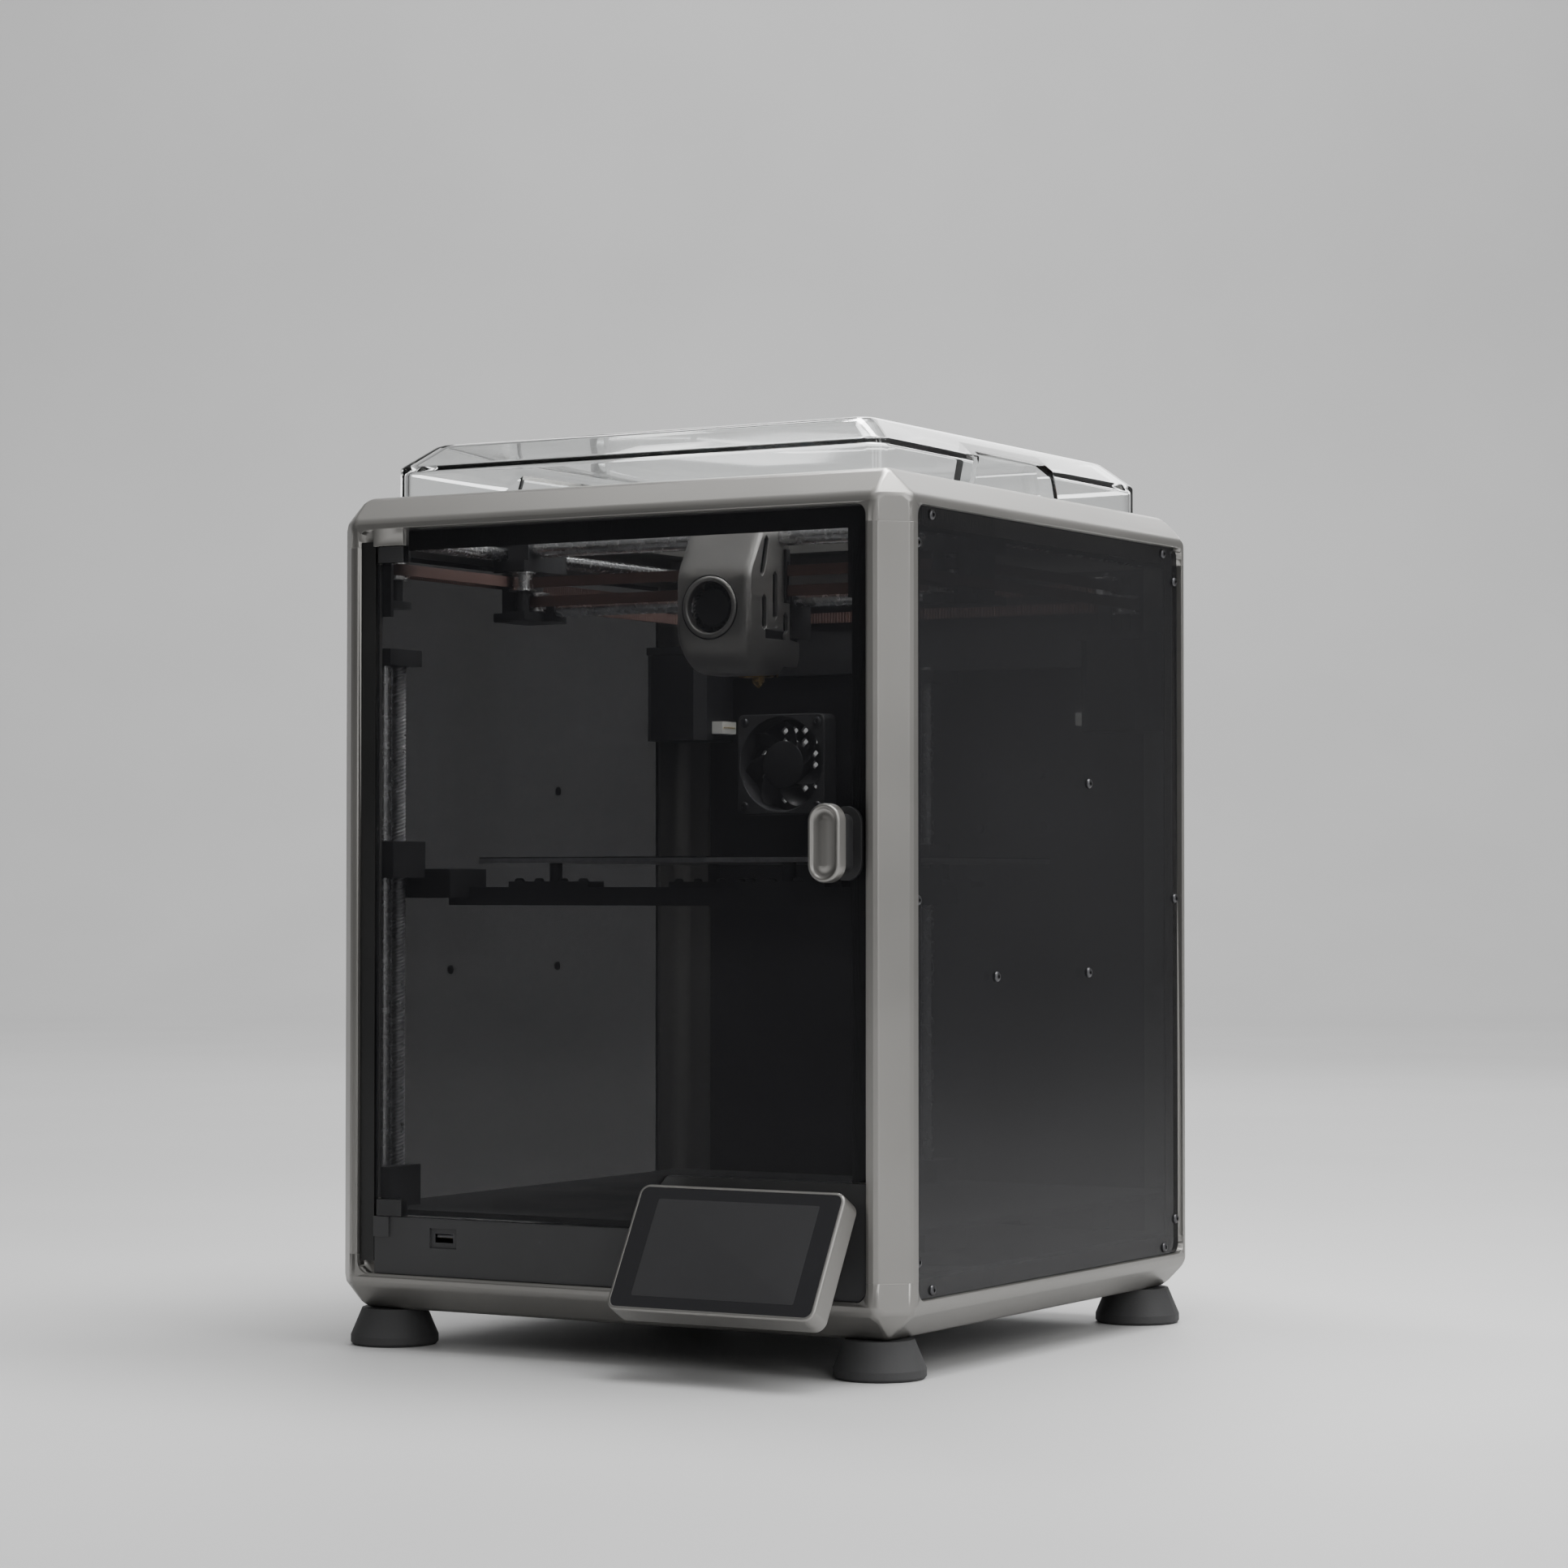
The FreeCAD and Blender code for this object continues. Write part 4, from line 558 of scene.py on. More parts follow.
def straight(start, end):
    """Samples of a straight stretch: (point, direction to the left of travel)."""
    way = end - start
    count = max(2, round(way.length / TOOTH_STEP))
    left = Vector((-way.y, way.x, 0)).normalized()
    return [(start + way * step / count, left) for step in range(count + 1)]


def bend(centre, start, end):
    """Samples of an arc between two angles in quarter turns."""
    count = max(4, round(abs(end - start) * math.pi / 2 * BELT_MID_R / TOOTH_STEP))
    samples = []
    for step in range(count + 1):
        turn = math.pi / 2 * (start + (end - start) * step / count)
        out = Vector((math.cos(turn), math.sin(turn), 0))
        left = -out if end > start else out
        samples.append((centre + out * BELT_MID_R, left))
    return samples


def belt_band(shape, samples, flip):
    """A ribbed band along the samples; flip mirrors it in X for the other belt."""
    mirror = Vector((flip, 1, 1))
    rise = AXIS_Z * BELT_HALF_WIDE
    loops = []
    for count, (point, left) in enumerate(samples):
        tooth = BELT_TIP if count % 4 in (1, 2) else BELT_ROOT
        inner = (point + left * tooth) * mirror
        outer = (point - left * BELT_BACK) * mirror
        loops.append([inner + rise, inner - rise, outer - rise, outer + rise])
    skin(shape, loops)


def belt_spots(word, flip):
    """Centres of one belt's pulleys, flipped in X where needed so that both belts share one outline."""
    mirror = Vector((flip, 1, 1))
    return [middle(f"{node}_{word}") * mirror for node in BELT_PULLEYS]


def belt_pieces():
    """Both belts: the runs that stand still, those that ride on the gantry and those that change length."""
    fixed = bmesh.new()
    crossing = bmesh.new()
    front = bmesh.new()
    rear = bmesh.new()
    out_x = AXIS_X * BELT_MID_R
    out_y = AXIS_Y * BELT_MID_R
    for word, flip in (("lower", -1), ("upper", 1)):
        motor, nose, tail, near, far = belt_spots(word, flip)
        run = (bend(tail, 0, 1) + straight(tail + out_y, motor + out_y)[1:-1]
               + bend(motor, 1, 2) + straight(motor - out_x, nose - out_x)[1:-1] + bend(nose, 2, 4))
        across = bend(near, 2, 1) + straight(near + out_y, far - out_y)[1:-1] + bend(far, 3, 4)
        belt_band(fixed, run, flip)
        belt_band(crossing, across, flip)
        belt_band(front, straight(nose + out_x, near - out_x), flip)
        belt_band(rear, straight(far + out_x, tail + out_x), flip)
    rubber = MATS["belt_rubber"]
    new_piece("belt_loops", fixed, rubber, "chassis", ("belt_fixed_runs",), smooth=20)
    new_piece("belt_crossing", crossing, rubber, "gantry", ("x_belts",), smooth=20)
    front_run = new_piece("belt_front_runs", front, rubber, None, ("belt_y_runs",), smooth=20)
    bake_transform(front_run)
    rear_run = new_piece("belt_rear_runs", rear, rubber, None, ("belt_y_runs",), smooth=20)
    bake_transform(rear_run)


# ---------------------------------------------------------------- lead screws

SCREW_R = 4 * MM
SCREW_CORE_R = 3 * MM
PULLEY_RISE = 12 * MM
PULLEY = in_mm(((7.9, 0), (7.9, 1), (6.6, 1.2), (6.6, 9), (7.9, 9.2), (7.9, 10.2), (5.6, 10.4), (5.6, 12)))
THREAD_LEAD = 8 * MM
THREAD_ROW = 0.5 * MM
THREAD_COLUMNS = 16
THREAD_DEEP = 0.9 * MM


def lead_screw(name):
    """A rod with a four-start thread over a flanged pulley."""
    centre = middle(name)
    top = high(name).z
    foot = Vector((centre.x, centre.y, low(name).z))
    neck = foot + AXIS_Z * PULLEY_RISE
    shape = bmesh.new()
    turn_rows = round(THREAD_LEAD / THREAD_ROW)
    rows = round((top - neck.z) / THREAD_ROW) + turn_rows
    depth = (0.0, 0.0, THREAD_DEEP, THREAD_DEEP)
    grid = []
    for row in range(rows + 1):
        ring = []
        for column in range(THREAD_COLUMNS):
            rise = (row - turn_rows) * THREAD_ROW + THREAD_LEAD * column / THREAD_COLUMNS
            rise = min(max(rise, 0), top - neck.z)
            out = turned((AXIS_X, AXIS_Y), 2 * math.pi * column / THREAD_COLUMNS)
            ring.append(shape.verts.new(neck + out * (SCREW_R - depth[row % 4]) + AXIS_Z * rise))
        grid.append(ring)
    for row in range(rows):
        for column in range(THREAD_COLUMNS):
            wraps = column + 1 == THREAD_COLUMNS
            after = 0 if wraps else column + 1
            beside = row + turn_rows if wraps else row
            if beside < rows:
                shape.faces.new((grid[row][column], grid[beside][after],
                                 grid[beside + 1][after], grid[row + 1][column]))
    lathe(shape, PULLEY, foot, AXIS_Z, 40)
    core = ((SCREW_CORE_R, 0), (SCREW_CORE_R, top - neck.z - 0.2 * MM))
    lathe(shape, core, neck, AXIS_Z, 16)
    bmesh.ops.dissolve_degenerate(shape, edges=shape.edges, dist=SAME_PLACE)
    new_piece(f"{name}_threaded", shape, MATS["steel"], name, (name,), smooth=30)


# ---------------------------------------------------------------- lid

LID_CORNER = 8 * MM
LID_SKIN = 3 * MM
LID_BEVEL_IN = 15.6 * MM
LID_BEVEL_DROP = 13.5 * MM
LID_SOFT = 1.2 * MM
SCOOP_IN = 10 * MM
SCOOP_OUT = 20 * MM
SCOOP_BELOW = 15 * MM
SCOOP_RISE = 20 * MM
SCOOP_FOOT_HALF = 50 * MM
SCOOP_TOP_HALF = 42 * MM


def hood(shrink, base):
    """The lid's outer form, or its hollow when shrunk by the skin, from a base height up."""
    centre = middle("lid")
    half = span("lid").x / 2 - shrink
    top = high("lid").z - shrink
    shoulder = top - LID_BEVEL_DROP
    crown = half - LID_BEVEL_IN
    levels = ((base, half), (shoulder - LID_SOFT, half), (shoulder, half - LID_SOFT * 0.15),
              (shoulder + LID_SOFT, half - LID_SOFT), (top - LID_SOFT, crown + LID_SOFT * 1.4),
              (top - LID_SOFT * 0.3, crown), (top, crown - LID_SOFT * 1.2))
    loops = [rounded_loop(Vector((centre.x, centre.y, rise)), AXIS_X, AXIS_Y, reach, reach, LID_CORNER)
             for rise, reach in levels]
    return skin(bmesh.new(), loops)


def scoop(side, extra):
    """The finger recess in one side of the lid, made larger by extra."""
    foot = low("lid").z
    centre = middle("lid")
    half = span("lid").x / 2
    wide = SCOOP_FOOT_HALF + extra
    narrow = SCOOP_TOP_HALF + extra
    top = SCOOP_RISE + extra
    outline = ((-wide, -SCOOP_BELOW), (wide, -SCOOP_BELOW), (wide, 0), (narrow, top), (-narrow, top),
               (-wide, 0))
    loops = []
    for reach in (half - SCOOP_IN - extra, half + SCOOP_OUT):
        x = centre.x + side * reach
        loops.append([Vector((x, centre.y + y, foot + z)) for y, z in outline])
    return skin(bmesh.new(), loops)


def lid_piece():
    """A shell of constant thickness: the outer form less its hollow, both with finger recesses."""
    base = low("lid").z
    outer = new_piece("clear_lid_shell", hood(0, base), MATS["clear_lid"], None, ("lid",))
    carved(outer, scoop(-1, 0), scoop(1, 0))
    space = loose_mesh("hollow", hood(LID_SKIN, base - 5 * MM))
    hollow = bpy.data.objects.new("hollow", space)
    bpy.context.scene.collection.objects.link(hollow)
    carved(hollow, scoop(-1, LID_SKIN), scoop(1, LID_SKIN))
    inner = bmesh.new()
    inner.from_mesh(hollow.data)
    bpy.data.objects.remove(hollow)
    carved(outer, inner)
    crisp(outer, 40)
    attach(outer, "lid")


# ---------------------------------------------------------------- door handle and printed border

BORDER_RIM = 2.5 * MM
BORDER_TOP = 11.6 * MM
BORDER_SIDE = 10.6 * MM
BORDER_TALL = 342.4 * MM
BORDER_THICK = 0.15 * MM


def door_handle():
    """A long dished grip: each step of its profile is (inset from the rim, depth behind the front)."""
    centre = middle("door_handle")
    half = span("door_handle").x / 2
    tall = span("door_handle").z / 2
    front = low("door_handle").y
    back = span("door_handle").y / MM
    profile = ((0, back), (0, 1.6), (0.25, 0.7), (0.9, 0.12), (1.5, 0), (2.0, 0.25), (2.4, 0.9),
               (2.9, 1.45), (5.2, 1.55), (6.6, 1.1), (7.3, 0.85), (8.6, 0.8))
    loops = []
    for inset, depth in in_mm(profile):
        spot = Vector((centre.x, front + depth, centre.z))
        wide = half - inset
        loops.append(rounded_loop(spot, AXIS_X, AXIS_Z, wide, tall - inset, wide - SAME_PLACE, 12))
    new_piece("door_handle_dished", skin(bmesh.new(), loops), MATS["satin_frame"], "door",
              ("door_handle",), smooth=60)


def door_border():
    """The printed strips along the top and the hinge side, behind the glass."""
    lowest = low("door_glass")
    highest = high("door_glass")
    behind = highest.y
    under = highest.z - BORDER_TOP
    right = highest.x - BORDER_RIM * 0.2
    border = bmesh.new()
    box_between(border, Vector((lowest.x + BORDER_RIM, behind, under)),
                Vector((highest.x - BORDER_RIM, behind + BORDER_THICK, highest.z - BORDER_RIM * 0.4)))
    box_between(border, Vector((highest.x - BORDER_SIDE, behind, highest.z - BORDER_TALL)),
                Vector((right, behind + BORDER_THICK, under)))
    new_piece("door_border", border, INK, "door")


# ---------------------------------------------------------------- display

FIELD_HALF_WIDE = 47.5 * MM
FIELD_HALF_TALL = 27 * MM
FIELD_CORNER = 1 * MM


def display_piece():
    """The switched-off panel under the cover glass: a slightly paler field on its sloping face."""
    data = NODES["display_glass"].data
    face = max(data.polygons, key=lambda one: one.area if one.normal.y < 0 else 0)
    normal = face.normal.copy()
    up = (AXIS_Z - normal * normal.z).normalized()
    corners = [data.vertices[index].co for index in face.vertices]
    centre = normal * corners[0].dot(normal)
    for axis in (AXIS_X, up):
        reach = [corner.dot(axis) for corner in corners]
        centre += axis * (min(reach) + max(reach)) / 2
    loops = []
    for lift, inset in in_mm(((0, 0), (0.05, 0), (0.06, 0.15))):
        loops.append(rounded_loop(centre + normal * lift, AXIS_X, up, FIELD_HALF_WIDE - inset,
                                  FIELD_HALF_TALL - inset, FIELD_CORNER, 4))
    new_piece("display_field", skin(bmesh.new(), loops), SCREEN, "chassis", (), smooth=30)


# ---------------------------------------------------------------- print head

HEAD_LIP = 1 * MM
HEAD_WALL = 1.8 * MM
NOSE_DEEP = 22 * MM
NOSE_RISE = 24 * MM
BORE_R = 14 * MM
ROD_WAY_R = 5.3 * MM
CUT_PAST = 5 * MM


def head_profile(inset, chin):
    """Side outline of the cover as (y, z) places; inset draws the front in, chin lifts its foot."""
    front = low("head_shell").y + HEAD_LIP
    foot = low("head_shell").z
    roof = high("head_shell").z - inset * 0.4
    back = high("head_shell").y
    points = [(back, foot + chin), (front + NOSE_DEEP, foot + chin)]
    for step in range(1, 8):
        turn = math.pi / 2 * step / 8
        points.append((front + inset + (NOSE_DEEP - inset) * (1 - math.sin(turn)),
                       foot + chin + (NOSE_RISE - chin) * (1 - math.cos(turn))))
    face = in_mm(((0, 24), (0, 50), (0.6, 54), (2.2, 58)))
    points += [(front + y + inset, foot + z) for y, z in face]
    points += [(front + 16.4 * MM + inset, roof), (front + 43.1 * MM, roof)]
    rear = in_mm(((43.1, 68.8), (37.4, 68.8), (37.4, 39.3), (44.0, 39.3), (44.0, 19.5)))
    points += [(front + y, foot + z) for y, z in rear]
    return points + [(back, foot + 18.2 * MM)]


def prism(points, start, end):
    """A closed shape from a side outline, between two stations along X."""
    return skin(bmesh.new(), [[Vector((x, y, z)) for y, z in points] for x in (start, end)])


def slot_shape(front_y, back_y, foot, roof, half=2.4):
    """A pointed slot outline, given from the cover's front face and foot in millimetres."""
    face = low("head_shell").y + HEAD_LIP
    base = low("head_shell").z
    spots = ((front_y - half, foot + half), (front_y, foot), (front_y + half, foot + half),
             (back_y + half, roof - half), (back_y, roof), (back_y - half, roof - half))
    return [(face + y, base + z) for y, z in in_mm(spots)]


def head_hollow():
    """The space inside the cover."""
    face = low("head_shell").y + HEAD_LIP + HEAD_WALL
    foot = low("head_shell").z
    roof = high("head_shell").z - HEAD_WALL
    back = high("head_shell").y + 20 * MM
    inside = [(face + y, foot + z) for y, z in in_mm(((38, -5), (38, 12), (16, 12), (0, 26), (0, 55)))]
    inside += [(face + 15 * MM, roof), (back, roof), (back, foot - 5 * MM)]
    return prism(inside, low("head_shell").x + HEAD_WALL, high("head_shell").x - HEAD_WALL)


def head_cutters():
    """The hollow, the blower's bore, the rod's way and the side slots."""
    left = low("head_shell").x
    right = high("head_shell").x
    foot = low("head_shell").z
    face = low("head_shell").y + HEAD_LIP + HEAD_WALL
    ring = middle("blower_impeller")
    bore_start = Vector((ring.x, face - 8 * MM, ring.z))
    bore = lathe(bmesh.new(), ((BORE_R, 0), (BORE_R, 20 * MM)), bore_start, AXIS_Y, 64)
    lowest, highest = max(islands("x_rods"), key=lambda pair: pair[1].z)
    rod = (lowest + highest) / 2
    way_start = Vector((left - 15 * MM, rod.y, rod.z))
    rod_way = lathe(bmesh.new(), ((ROD_WAY_R, 0), (ROD_WAY_R, 80 * MM)), way_start, AXIS_X, 40)
    cutters = [head_hollow(), bore, rod_way]
    for slot in ((16.6, 16.6, 23.3, 43.2), (14.6, 19.2, 52.5, 75.3),
                 (28.1, 28.1, 29.1, 56.4), (39.4, 39.4, 22.2, 34.8)):
        cutters.append(prism(slot_shape(*slot), left - CUT_PAST, right + CUT_PAST))
    base_slot = bmesh.new()
    box_between(base_slot, Vector((left - CUT_PAST, face + 16.2 * MM, foot + 19 * MM)),
                Vector((right + CUT_PAST, face + 37.6 * MM, foot + 23.8 * MM)))
    return cutters + [base_slot]


def head_cover():
    """The print head's cover, drawn in towards both of its sides."""
    left = low("head_shell").x
    right = high("head_shell").x
    stations = ((0, 3.0, 10.0), (0.9, 1.5, 7.0), (2.2, 0.5, 3.6), (4.0, 0, 1.2), (7.0, 0, 0))
    profiles = [(along * MM, head_profile(inset * MM, chin * MM)) for along, inset, chin in stations]
    slices = [(left + along, profile) for along, profile in profiles]
    slices += [(right - along, profile) for along, profile in reversed(profiles)]
    shell = skin(bmesh.new(), [[Vector((x, y, z)) for y, z in profile] for x, profile in slices])
    cover = new_piece("head_cover", shell, HEAD_SATIN, None, ("head_shell",))
    carved(cover, *head_cutters())
    crisp(cover, 24)
    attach(cover, "head")


def head_ring():
    """The raised ring round the blower's bore, with a thin black ring round its foot as painted shadow."""
    ring = middle("blower_impeller")
    front = Vector((ring.x, low("head_shell").y, ring.z))
    profile = in_mm(((14.0, 5.0), (14.0, 0.9), (14.3, 0.3), (15.0, 0), (16.0, 0.15), (16.8, 0.7),
                     (17.1, 1.3), (17.1, 2.2), (16.0, 3.0)))
    rim = lathe_open(bmesh.new(), profile, front, AXIS_Y, 72)
    new_piece("head_ring", rim, HEAD_SATIN, "head", (), smooth=60)
    # A thin black flange at the ring's foot: painted shadow for the shade in the groove there.
    profile = in_mm(((17.0, 0.93), (17.7, 0.98), (17.0, 1.03)))
    shade = lathe_open(bmesh.new(), profile, front, AXIS_Y, 72)
    new_piece("head_ring_painted_shadow", shade, MATS["black_plastic"], "head", (), smooth=60)


# ---------------------------------------------------------------- fans

def around_y(turn):
    """Directions outward and onward at an angle round a fan's axis."""
    return Vector((math.cos(turn), 0, math.sin(turn))), Vector((-math.sin(turn), 0, math.cos(turn)))


def blade_sheet(shape, centre, radii, angles, depths, thick):
    """One curved fan blade about Y: at each radius it spans two angles and two depths."""
    loops = []
    for radius, ends in zip(radii, angles):
        loop = []
        for turn, depth in zip(ends, depths):
            out, across = around_y(turn)
            for side in (-1, 1):
                loop.append(centre + out * radius + across * (side * thick / 2) + AXIS_Y * depth)
        loops.append([loop[0], loop[1], loop[3], loop[2]])
    skin(shape, loops)


def front_middle(node):
    """The middle of a node's front face."""
    centre = middle(node)
    return Vector((centre.x, low(node).y, centre.z))


def impeller():
    """The part-cooling blower's wheel: a hub, a back plate and many narrow blades."""
    face = front_middle("blower_impeller")
    deep = span("blower_impeller").y
    hub = in_mm(((9.6, 0), (10.2, 0.3), (10.3, 0.8))) + [(10.3 * MM, deep * 0.8)]
    plate_r = 13.1 * MM
    radii = (10.1 * MM, 11.6 * MM, plate_r)
    sweeps = (0, 0.05, 0.16)
    count = 36
    shape = lathe(bmesh.new(), hub, face, AXIS_Y, 64)
    lathe(shape, ((plate_r, deep - 0.8 * MM), (plate_r, deep)), face, AXIS_Y, 64)
    for number in range(count):
        turn = 2 * math.pi * number / count
        angles = [(turn + sweep, turn + sweep) for sweep in sweeps]
        blade_sheet(shape, face, radii, angles, (1.4 * MM, deep - 0.4 * MM), 0.5 * MM)
    new_piece("impeller_wheel", shape, MATS["black_plastic"], "blower_impeller",
              ("blower_impeller",), 35)


def exhaust_wheel():
    """The rear fan's rotor with its broad twisted blades."""
    face = front_middle("exhaust_rotor")
    deep = span("exhaust_rotor").y
    hub = in_mm(((13.4, 0), (14.2, 0.3), (14.5, 1.0))) + [(14.5 * MM, deep)]
    radii = (14.2 * MM, 17.5 * MM, 21 * MM, 24.5 * MM, 27 * MM)
    count = 7
    shape = lathe(bmesh.new(), hub, face, AXIS_Y, 72)
    for number in range(count):
        turn = 2 * math.pi * number / count
        angles = [(turn + 0.14 * step, turn + 0.62 + 0.05 * step) for step in range(len(radii))]
        blade_sheet(shape, face, radii, angles, (0.8 * MM, deep - 0.8 * MM), 1.1 * MM)
    new_piece("exhaust_wheel", shape, MATS["black_plastic"], "exhaust_rotor",
              ("exhaust_rotor",), 45)


def fan_housing():
    """The rear fan's square frame with its round throat."""
    front = front_middle("exhaust_fan_frame")
    half = span("exhaust_fan_frame").x / 2
    deep = span("exhaust_fan_frame").y
    soft = 0.6 * MM
    loops = []
    for depth, inset in ((0, soft), (soft, 0), (deep - soft, 0), (deep, soft)):
        reach = half - inset
        loops.append(rounded_loop(front + AXIS_Y * depth, AXIS_X, AXIS_Z, reach, reach, 4 * MM, 6))
    housing = new_piece("fan_housing", skin(bmesh.new(), loops), MATS["dark_plastic"], None,
                        ("exhaust_fan_frame",))
    throat = in_mm(((29.4, -1), (28.6, 1), (28.0, 3), (28.0, 20)))
    carved(housing, lathe(bmesh.new(), throat, front, AXIS_Y, 72))
    crisp(housing, 30)
    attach(housing, "chassis")


def fan_struts():
    """Four struts and a motor seat at the back of the fan's throat."""
    seat = front_middle("exhaust_fan_frame")
    seat.y = high("exhaust_fan_frame").y - 2 * MM
    rise = AXIS_Y * 1.8 * MM
    struts = lathe(bmesh.new(), in_mm(((14.4, 0), (14.4, 1.9))), seat, AXIS_Y, 48)
    for number in range(4):
        out, across = around_y(math.pi / 4 + math.pi / 2 * number)
        wide = across * 1.1 * MM
        loops = []
        for reach in (13.5 * MM, 28.4 * MM):
            foot = seat + out * reach
            loops.append([foot - wide, foot + wide, foot + wide + rise, foot - wide + rise])
        skin(struts, loops)
    new_piece("fan_struts", struts, MATS["dark_plastic"], "chassis", (), smooth=30)


# ---------------------------------------------------------------- back and side panels

def spool_nuts():
    """Closed rivet nuts behind the four spool-holder holes, on the inside of the back panel."""
    inner = low("back_panel").y
    pattern = next(mount for mount in frame["record"]["mounts"] if mount["name"] == "spool_holder_holes")
    spot = pattern["pos_m"]
    step_x = pattern["dims"]["spacing_x_mm"] * MM / 2
    step_z = pattern["dims"]["spacing_y_mm"] * MM / 2
    profile = in_mm(((4.4, 0.02), (4.4, 0.8), (3.3, 0.9), (3.3, 3.4)))
    shape = bmesh.new()
    for x in (spot[0] - step_x, spot[0] + step_x):
        for z in (spot[2] - step_z, spot[2] + step_z):
            lathe(shape, profile, Vector((x, inner, z)), -AXIS_Y, 24)
    new_piece("spool_rivet_nuts", shape, MATS["motor_body"], "chassis", (), smooth=40)


def side_borders():
    """Opaque printed margins on the inner faces of the two side panels."""
    margin = 11 * MM
    outline = ((0.02, 0, 7), (0.02, margin, 3), (0.12, margin, 3), (0.12, 0, 7), (0.02, 0, 7))
    for word, side in (("left", -1), ("right", 1)):
        panel = f"side_panel_{word}"
        centre = middle(panel)
        inner = high(panel).x if side < 0 else low(panel).x
        wide = span(panel).y / 2 - 1 * MM
        tall = span(panel).z / 2 - 1 * MM
        loops = []
        for depth, inset, radius in outline:
            spot = Vector((inner - side * depth * MM, centre.y, centre.z))
            loops.append(rounded_loop(spot, AXIS_Y, AXIS_Z, wide - inset, tall - inset, radius * MM))
        shape = skin(bmesh.new(), loops, close_ends=False)
        new_piece(f"side_border_{word}", shape, INK, "chassis", (), smooth=30)


# ---------------------------------------------------------------- screws on panels, brackets and plates

def panel_screw_pieces():
    """The CAD model's panel screws and three more on each side panel."""
    outer = high("side_panel_right").x
    places = []
    for lowest, highest in islands("panel_screws"):
        spot = (lowest + highest) / 2
        side = -1 if spot.x < 0 else 1
        places.append(Vector((side * outer, spot.y, spot.z)))
    for side in (-1, 1):
        for along, rise in in_mm(((-67.0, 202.0), (42.8, 305.7), (42.1, 202.2))):
            places.append(Vector((side * outer, BODY + along, rise)))
    screws("panel_screw_heads", places, lambda spot: AXIS_X * (1 if spot.x > 0 else -1), "chassis",
           stands_for=("panel_screws",))


def front_bracket_screws():
    """Two screws on the front of each idler bracket."""
    face = low("idler_brackets").y
    places = []
    for lowest, highest in islands("idler_brackets"):
        centre = (lowest + highest) / 2
        for lift in (-6.5 * MM, 6.5 * MM):
            places.append(Vector((centre.x, face, centre.z + lift)))
    screws("bracket_screw_heads", places, lambda spot: -AXIS_Y, "chassis", radius=2.6 * MM, rise=1.4 * MM)


def fan_screws():
    """A screw in each corner of the rear fan."""
    lowest = low("exhaust_fan_frame")
    highest = high("exhaust_fan_frame")
    inset = 5 * MM
    places = []
    for x in (lowest.x + inset, highest.x - inset):
        for z in (lowest.z + inset, highest.z - inset):
            places.append(Vector((x, lowest.y, z)))
    screws("fan_screw_heads", places, lambda spot: -AXIS_Y, "chassis", radius=2.9 * MM, rise=1.5 * MM)


def standoff_screws():
    """Four screws along the foot of each bed standoff."""
    places = []
    for lowest, highest in islands("bed_standoffs"):
        centre = (lowest + highest) / 2
        for shift in (-21 * MM, -8 * MM, 8 * MM, 21 * MM):
            places.append(Vector((centre.x + shift, lowest.y + 3.4 * MM, lowest.z + 3 * MM)))
    screws("standoff_screw_heads", places, lambda spot: AXIS_Z, "bed", radius=2.7 * MM, rise=1.9 * MM)


# ---------------------------------------------------------------- electric details

def box_about(shape, start, size, side):
    """A block whose length along X runs to the side of its start."""
    ends = sorted((start.x, start.x + side * size.x))
    box_between(shape, Vector((ends[0], start.y, start.z)),
                Vector((ends[1], start.y + size.y, start.z + size.z)))


def motor_details():
    """A white socket with six gilt pins on each of the two belt motors."""
    socket = Vector((7, 16.5, 7.5)) * MM
    pin = Vector((0.5, 0.8, 1.0)) * MM
    plugs = bmesh.new()
    pins = bmesh.new()
    cans = [pair for pair in islands("stepper_motors") if pair[0].z > middle("back_panel").z]
    for lowest, highest in cans:
        inward = 1 if lowest.x + highest.x < 0 else -1
        wall = highest.x if inward > 0 else lowest.x
        start = Vector((wall, lowest.y + 12 * MM, lowest.z + 4 * MM))
        box_about(plugs, start, socket, inward)
        for step in range(6):
            offset = Vector((inward * socket.x, (2 + 2.3 * step) * MM, 3.2 * MM))
            box_about(pins, start + offset, pin, inward)
    new_piece("motor_sockets", plugs, WHITE, "chassis")
    new_piece("motor_pins", pins, GOLD, "chassis")


def port_contacts():
    """Four gilt strips on the port's tongue."""
    tongue = middle("usb_port")
    front = low("usb_port").y
    strip = Vector((1.1, 6.4, 0.09)) * MM
    pitch = 2.4 * MM
    shape = bmesh.new()
    for step in range(4):
        x = tongue.x + (step - 1.5) * pitch - strip.x / 2
        box_about(shape, Vector((x, front + 1.6 * MM, tongue.z + 0.25 * MM)), strip, 1)
    new_piece("port_contacts", shape, GOLD, "chassis")


paint_frame()
for make in (frame_pieces, side_borders, spool_nuts, fan_housing, fan_struts, belt_pieces, lid_piece,
             door_handle, door_border, display_piece, head_cover, head_ring, impeller, exhaust_wheel,
             panel_screw_pieces, front_bracket_screws, fan_screws, standoff_screws, motor_details,
             port_contacts):
    make()
for screw in ("lead_screw_front_left", "lead_screw_front_right", "lead_screw_rear"):
    lead_screw(screw)


# ---------------------------------------------------------------- stage, lamps, camera

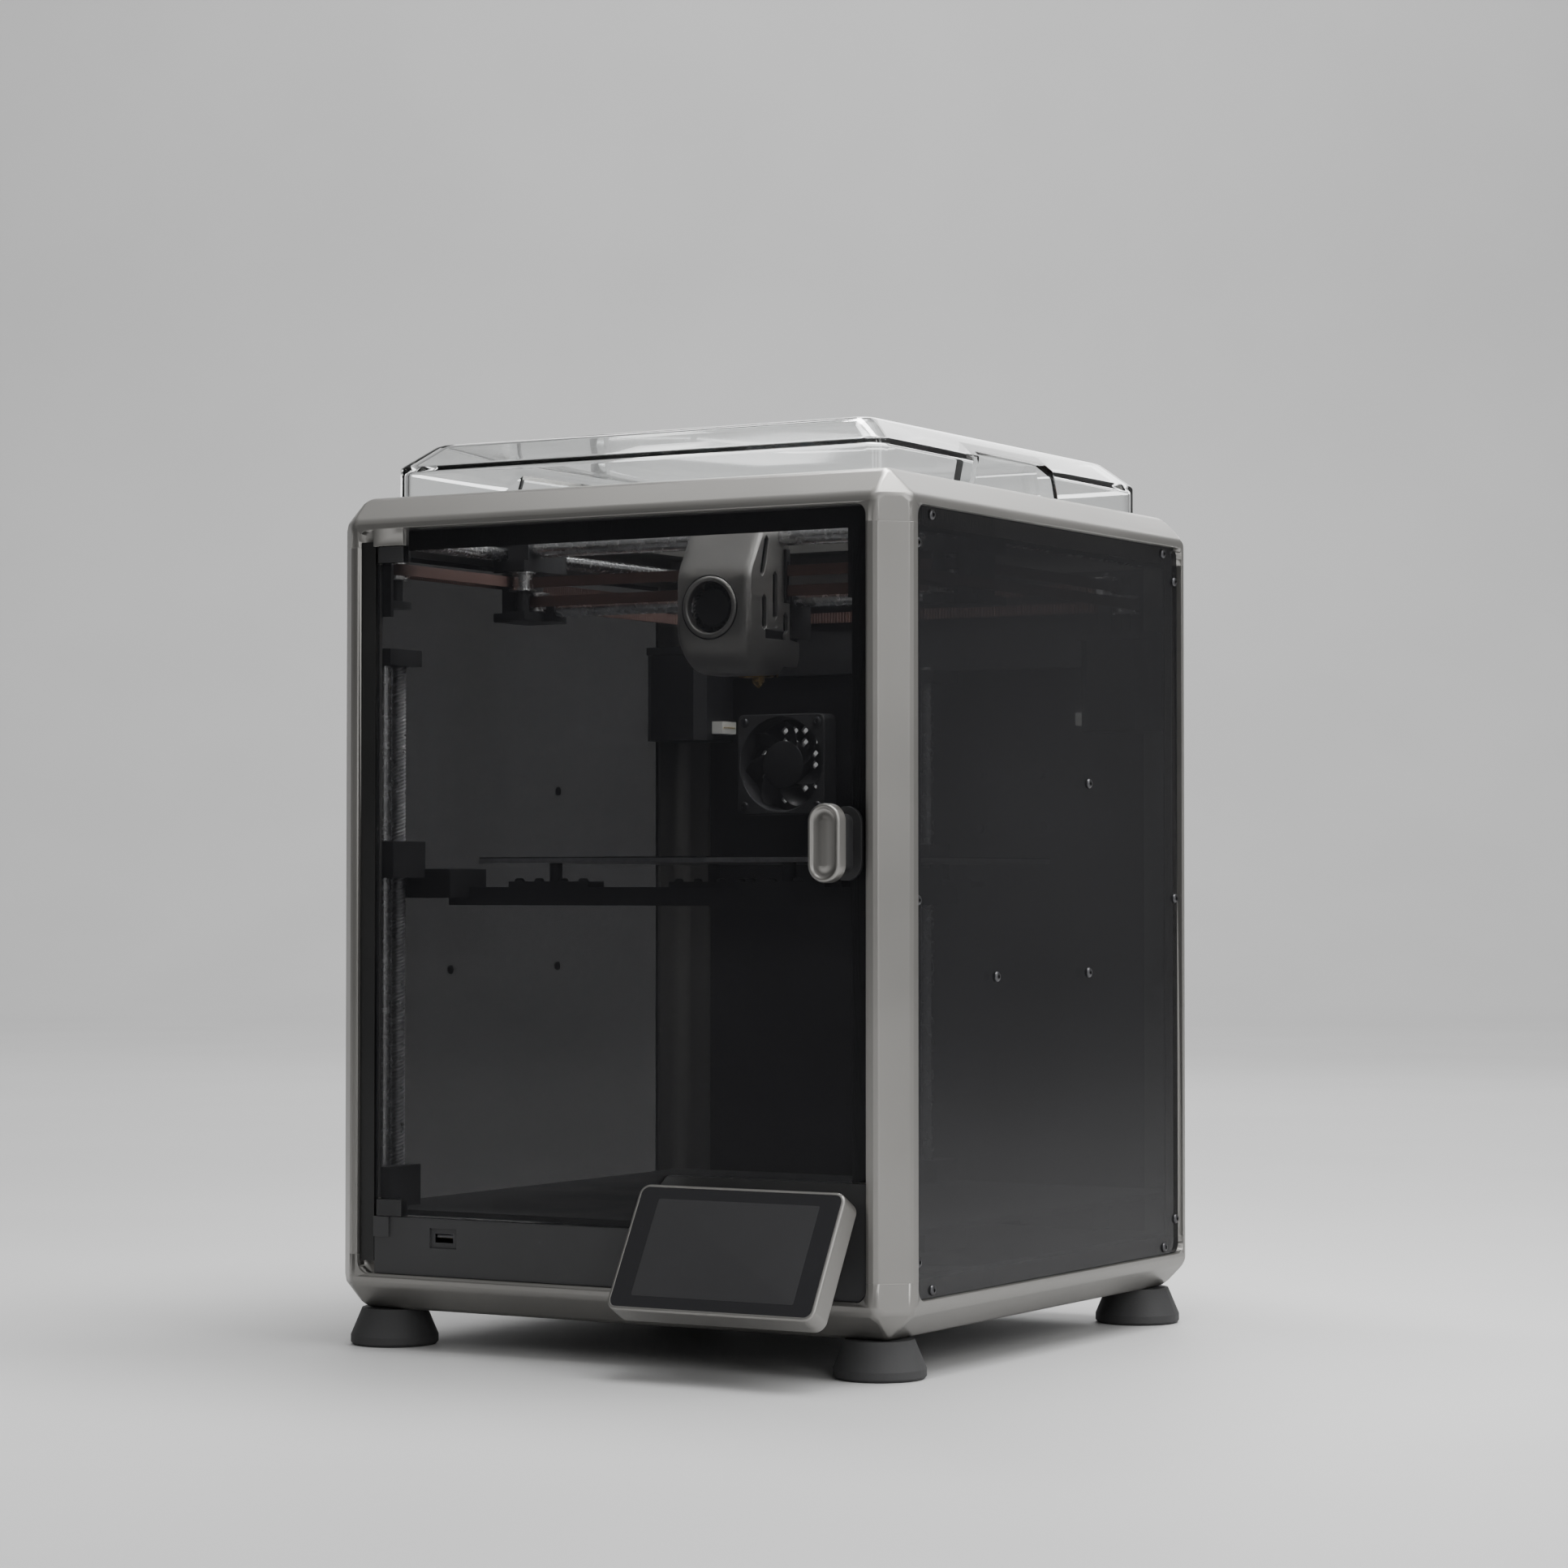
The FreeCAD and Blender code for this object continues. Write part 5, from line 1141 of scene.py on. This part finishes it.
def stage():
    """A floor that curves up into a wall behind the object."""
    floor_size = 12.0
    wall = 5.0
    curve = 1.6
    profile = [(-floor_size, 0.0), (wall, 0.0)]
    for step in range(1, 17):
        turn = math.pi / 2 * step / 16
        profile.append((wall + curve * math.sin(turn), curve * (1 - math.cos(turn))))
    profile.append((wall + curve, floor_size))
    shape = bmesh.new()
    view = Vector((-0.5, 0.86, 0)).normalized()
    side = Vector((view.y, -view.x, 0))
    rows = []
    for reach, rise in profile:
        spot = view * reach + AXIS_Z * rise
        rows.append([shape.verts.new(spot + side * way * floor_size) for way in (-1, 1)])
    for near, far in zip(rows, rows[1:]):
        shape.faces.new((near[0], near[1], far[1], far[0]))
    data = bpy.data.meshes.new("backdrop")
    shape.to_mesh(data)
    shape.free()
    floor = bpy.data.objects.new("backdrop", data)
    bpy.context.scene.collection.objects.link(floor)
    data.shade_smooth()
    paper = material("backdrop", (0.60, 0.60, 0.60), roughness=0.55)
    grain = surface_noise(paper, 3)
    vary_colour(paper, grain, (0.59, 0.59, 0.59), (0.61, 0.61, 0.61))
    data.materials.append(paper)


def lamp(name, place, aim, size, power):
    light = bpy.data.lights.new(name, "AREA")
    light.shape = "RECTANGLE"
    light.size = size[0]
    light.size_y = size[1]
    light.energy = power
    thing = bpy.data.objects.new(name, light)
    thing.location = place
    thing.rotation_euler = (Vector(aim) - Vector(place)).to_track_quat("-Z", "Y").to_euler()
    bpy.context.scene.collection.objects.link(thing)


def sky():
    """Soft surroundings: pale above and to the right, dim at the left and at eye level."""
    world = bpy.data.worlds.new("studio")
    world.use_nodes = True
    tree = world.node_tree
    coords = tree.nodes.new("ShaderNodeTexCoord")
    lean = tree.nodes.new("ShaderNodeVectorMath")
    lean.operation = "DOT_PRODUCT"
    lean.inputs[1].default_value = (0.40, 0.0, 0.85)
    ramp = tree.nodes.new("ShaderNodeValToRGB")
    ramp.color_ramp.elements[0].position = 0.0
    ramp.color_ramp.elements[0].color = (0.10, 0.10, 0.099, 1)
    ramp.color_ramp.elements[1].position = 0.9
    ramp.color_ramp.elements[1].color = (1.0, 1.0, 1.0, 1)
    tree.links.new(coords.outputs["Generated"], lean.inputs[0])
    tree.links.new(lean.outputs["Value"], ramp.inputs["Fac"])
    tree.links.new(ramp.outputs["Color"], tree.nodes["Background"].inputs["Color"])
    tree.nodes["Background"].inputs["Strength"].default_value = 0.8
    bpy.context.scene.world = world


def lights():
    aim = (0, 0, 0.25)
    lamp("front_right_strip", (2.0, -2.0, 0.9), aim, (0.35, 1.6), 9)
    lamp("top_left_strip", (-0.95, 0.05, 2.0), (0, 0, 0.44), (0.5, 0.10), 0.9)
    lamp("top_box", (0.6, 0.3, 2.1), aim, (1.6, 1.6), 44)
    lamp("lid_strip", (0.05, 0.08, 1.0), (0, 0, 0.4), (0.5, 0.12), 9)
    lamp("right_strip", (2.6, -0.6, 1.5), aim, (0.8, 2.0), 18)
    lamp("back_box", (-0.8, 2.6, 1.8), aim, (2.0, 1.4), 26)
    lamp("wall_wash", (-1.2, 2.6, 4.0), (-3.2, 5.6, 1.4), (3.0, 1.5), 150)


LENS = 91.19
CAMERA_PLACE = (1.1359, -1.9190 + BODY, 0.2495)
CAMERA_TILT = 0.0257
CAMERA_TURN = 0.5322


def camera():
    """The photograph's view, fitted to the body corners: mm of lens, metres and radians."""
    view = bpy.data.cameras.new("photo_view")
    view.lens = LENS
    view.sensor_width = 36
    view.clip_end = 100
    thing = bpy.data.objects.new("photo_view", view)
    thing.location = CAMERA_PLACE
    thing.rotation_euler = (math.pi / 2 + CAMERA_TILT, 0, CAMERA_TURN)
    bpy.context.scene.collection.objects.link(thing)
    bpy.context.scene.camera = thing


stage()
sky()
lights()
camera()
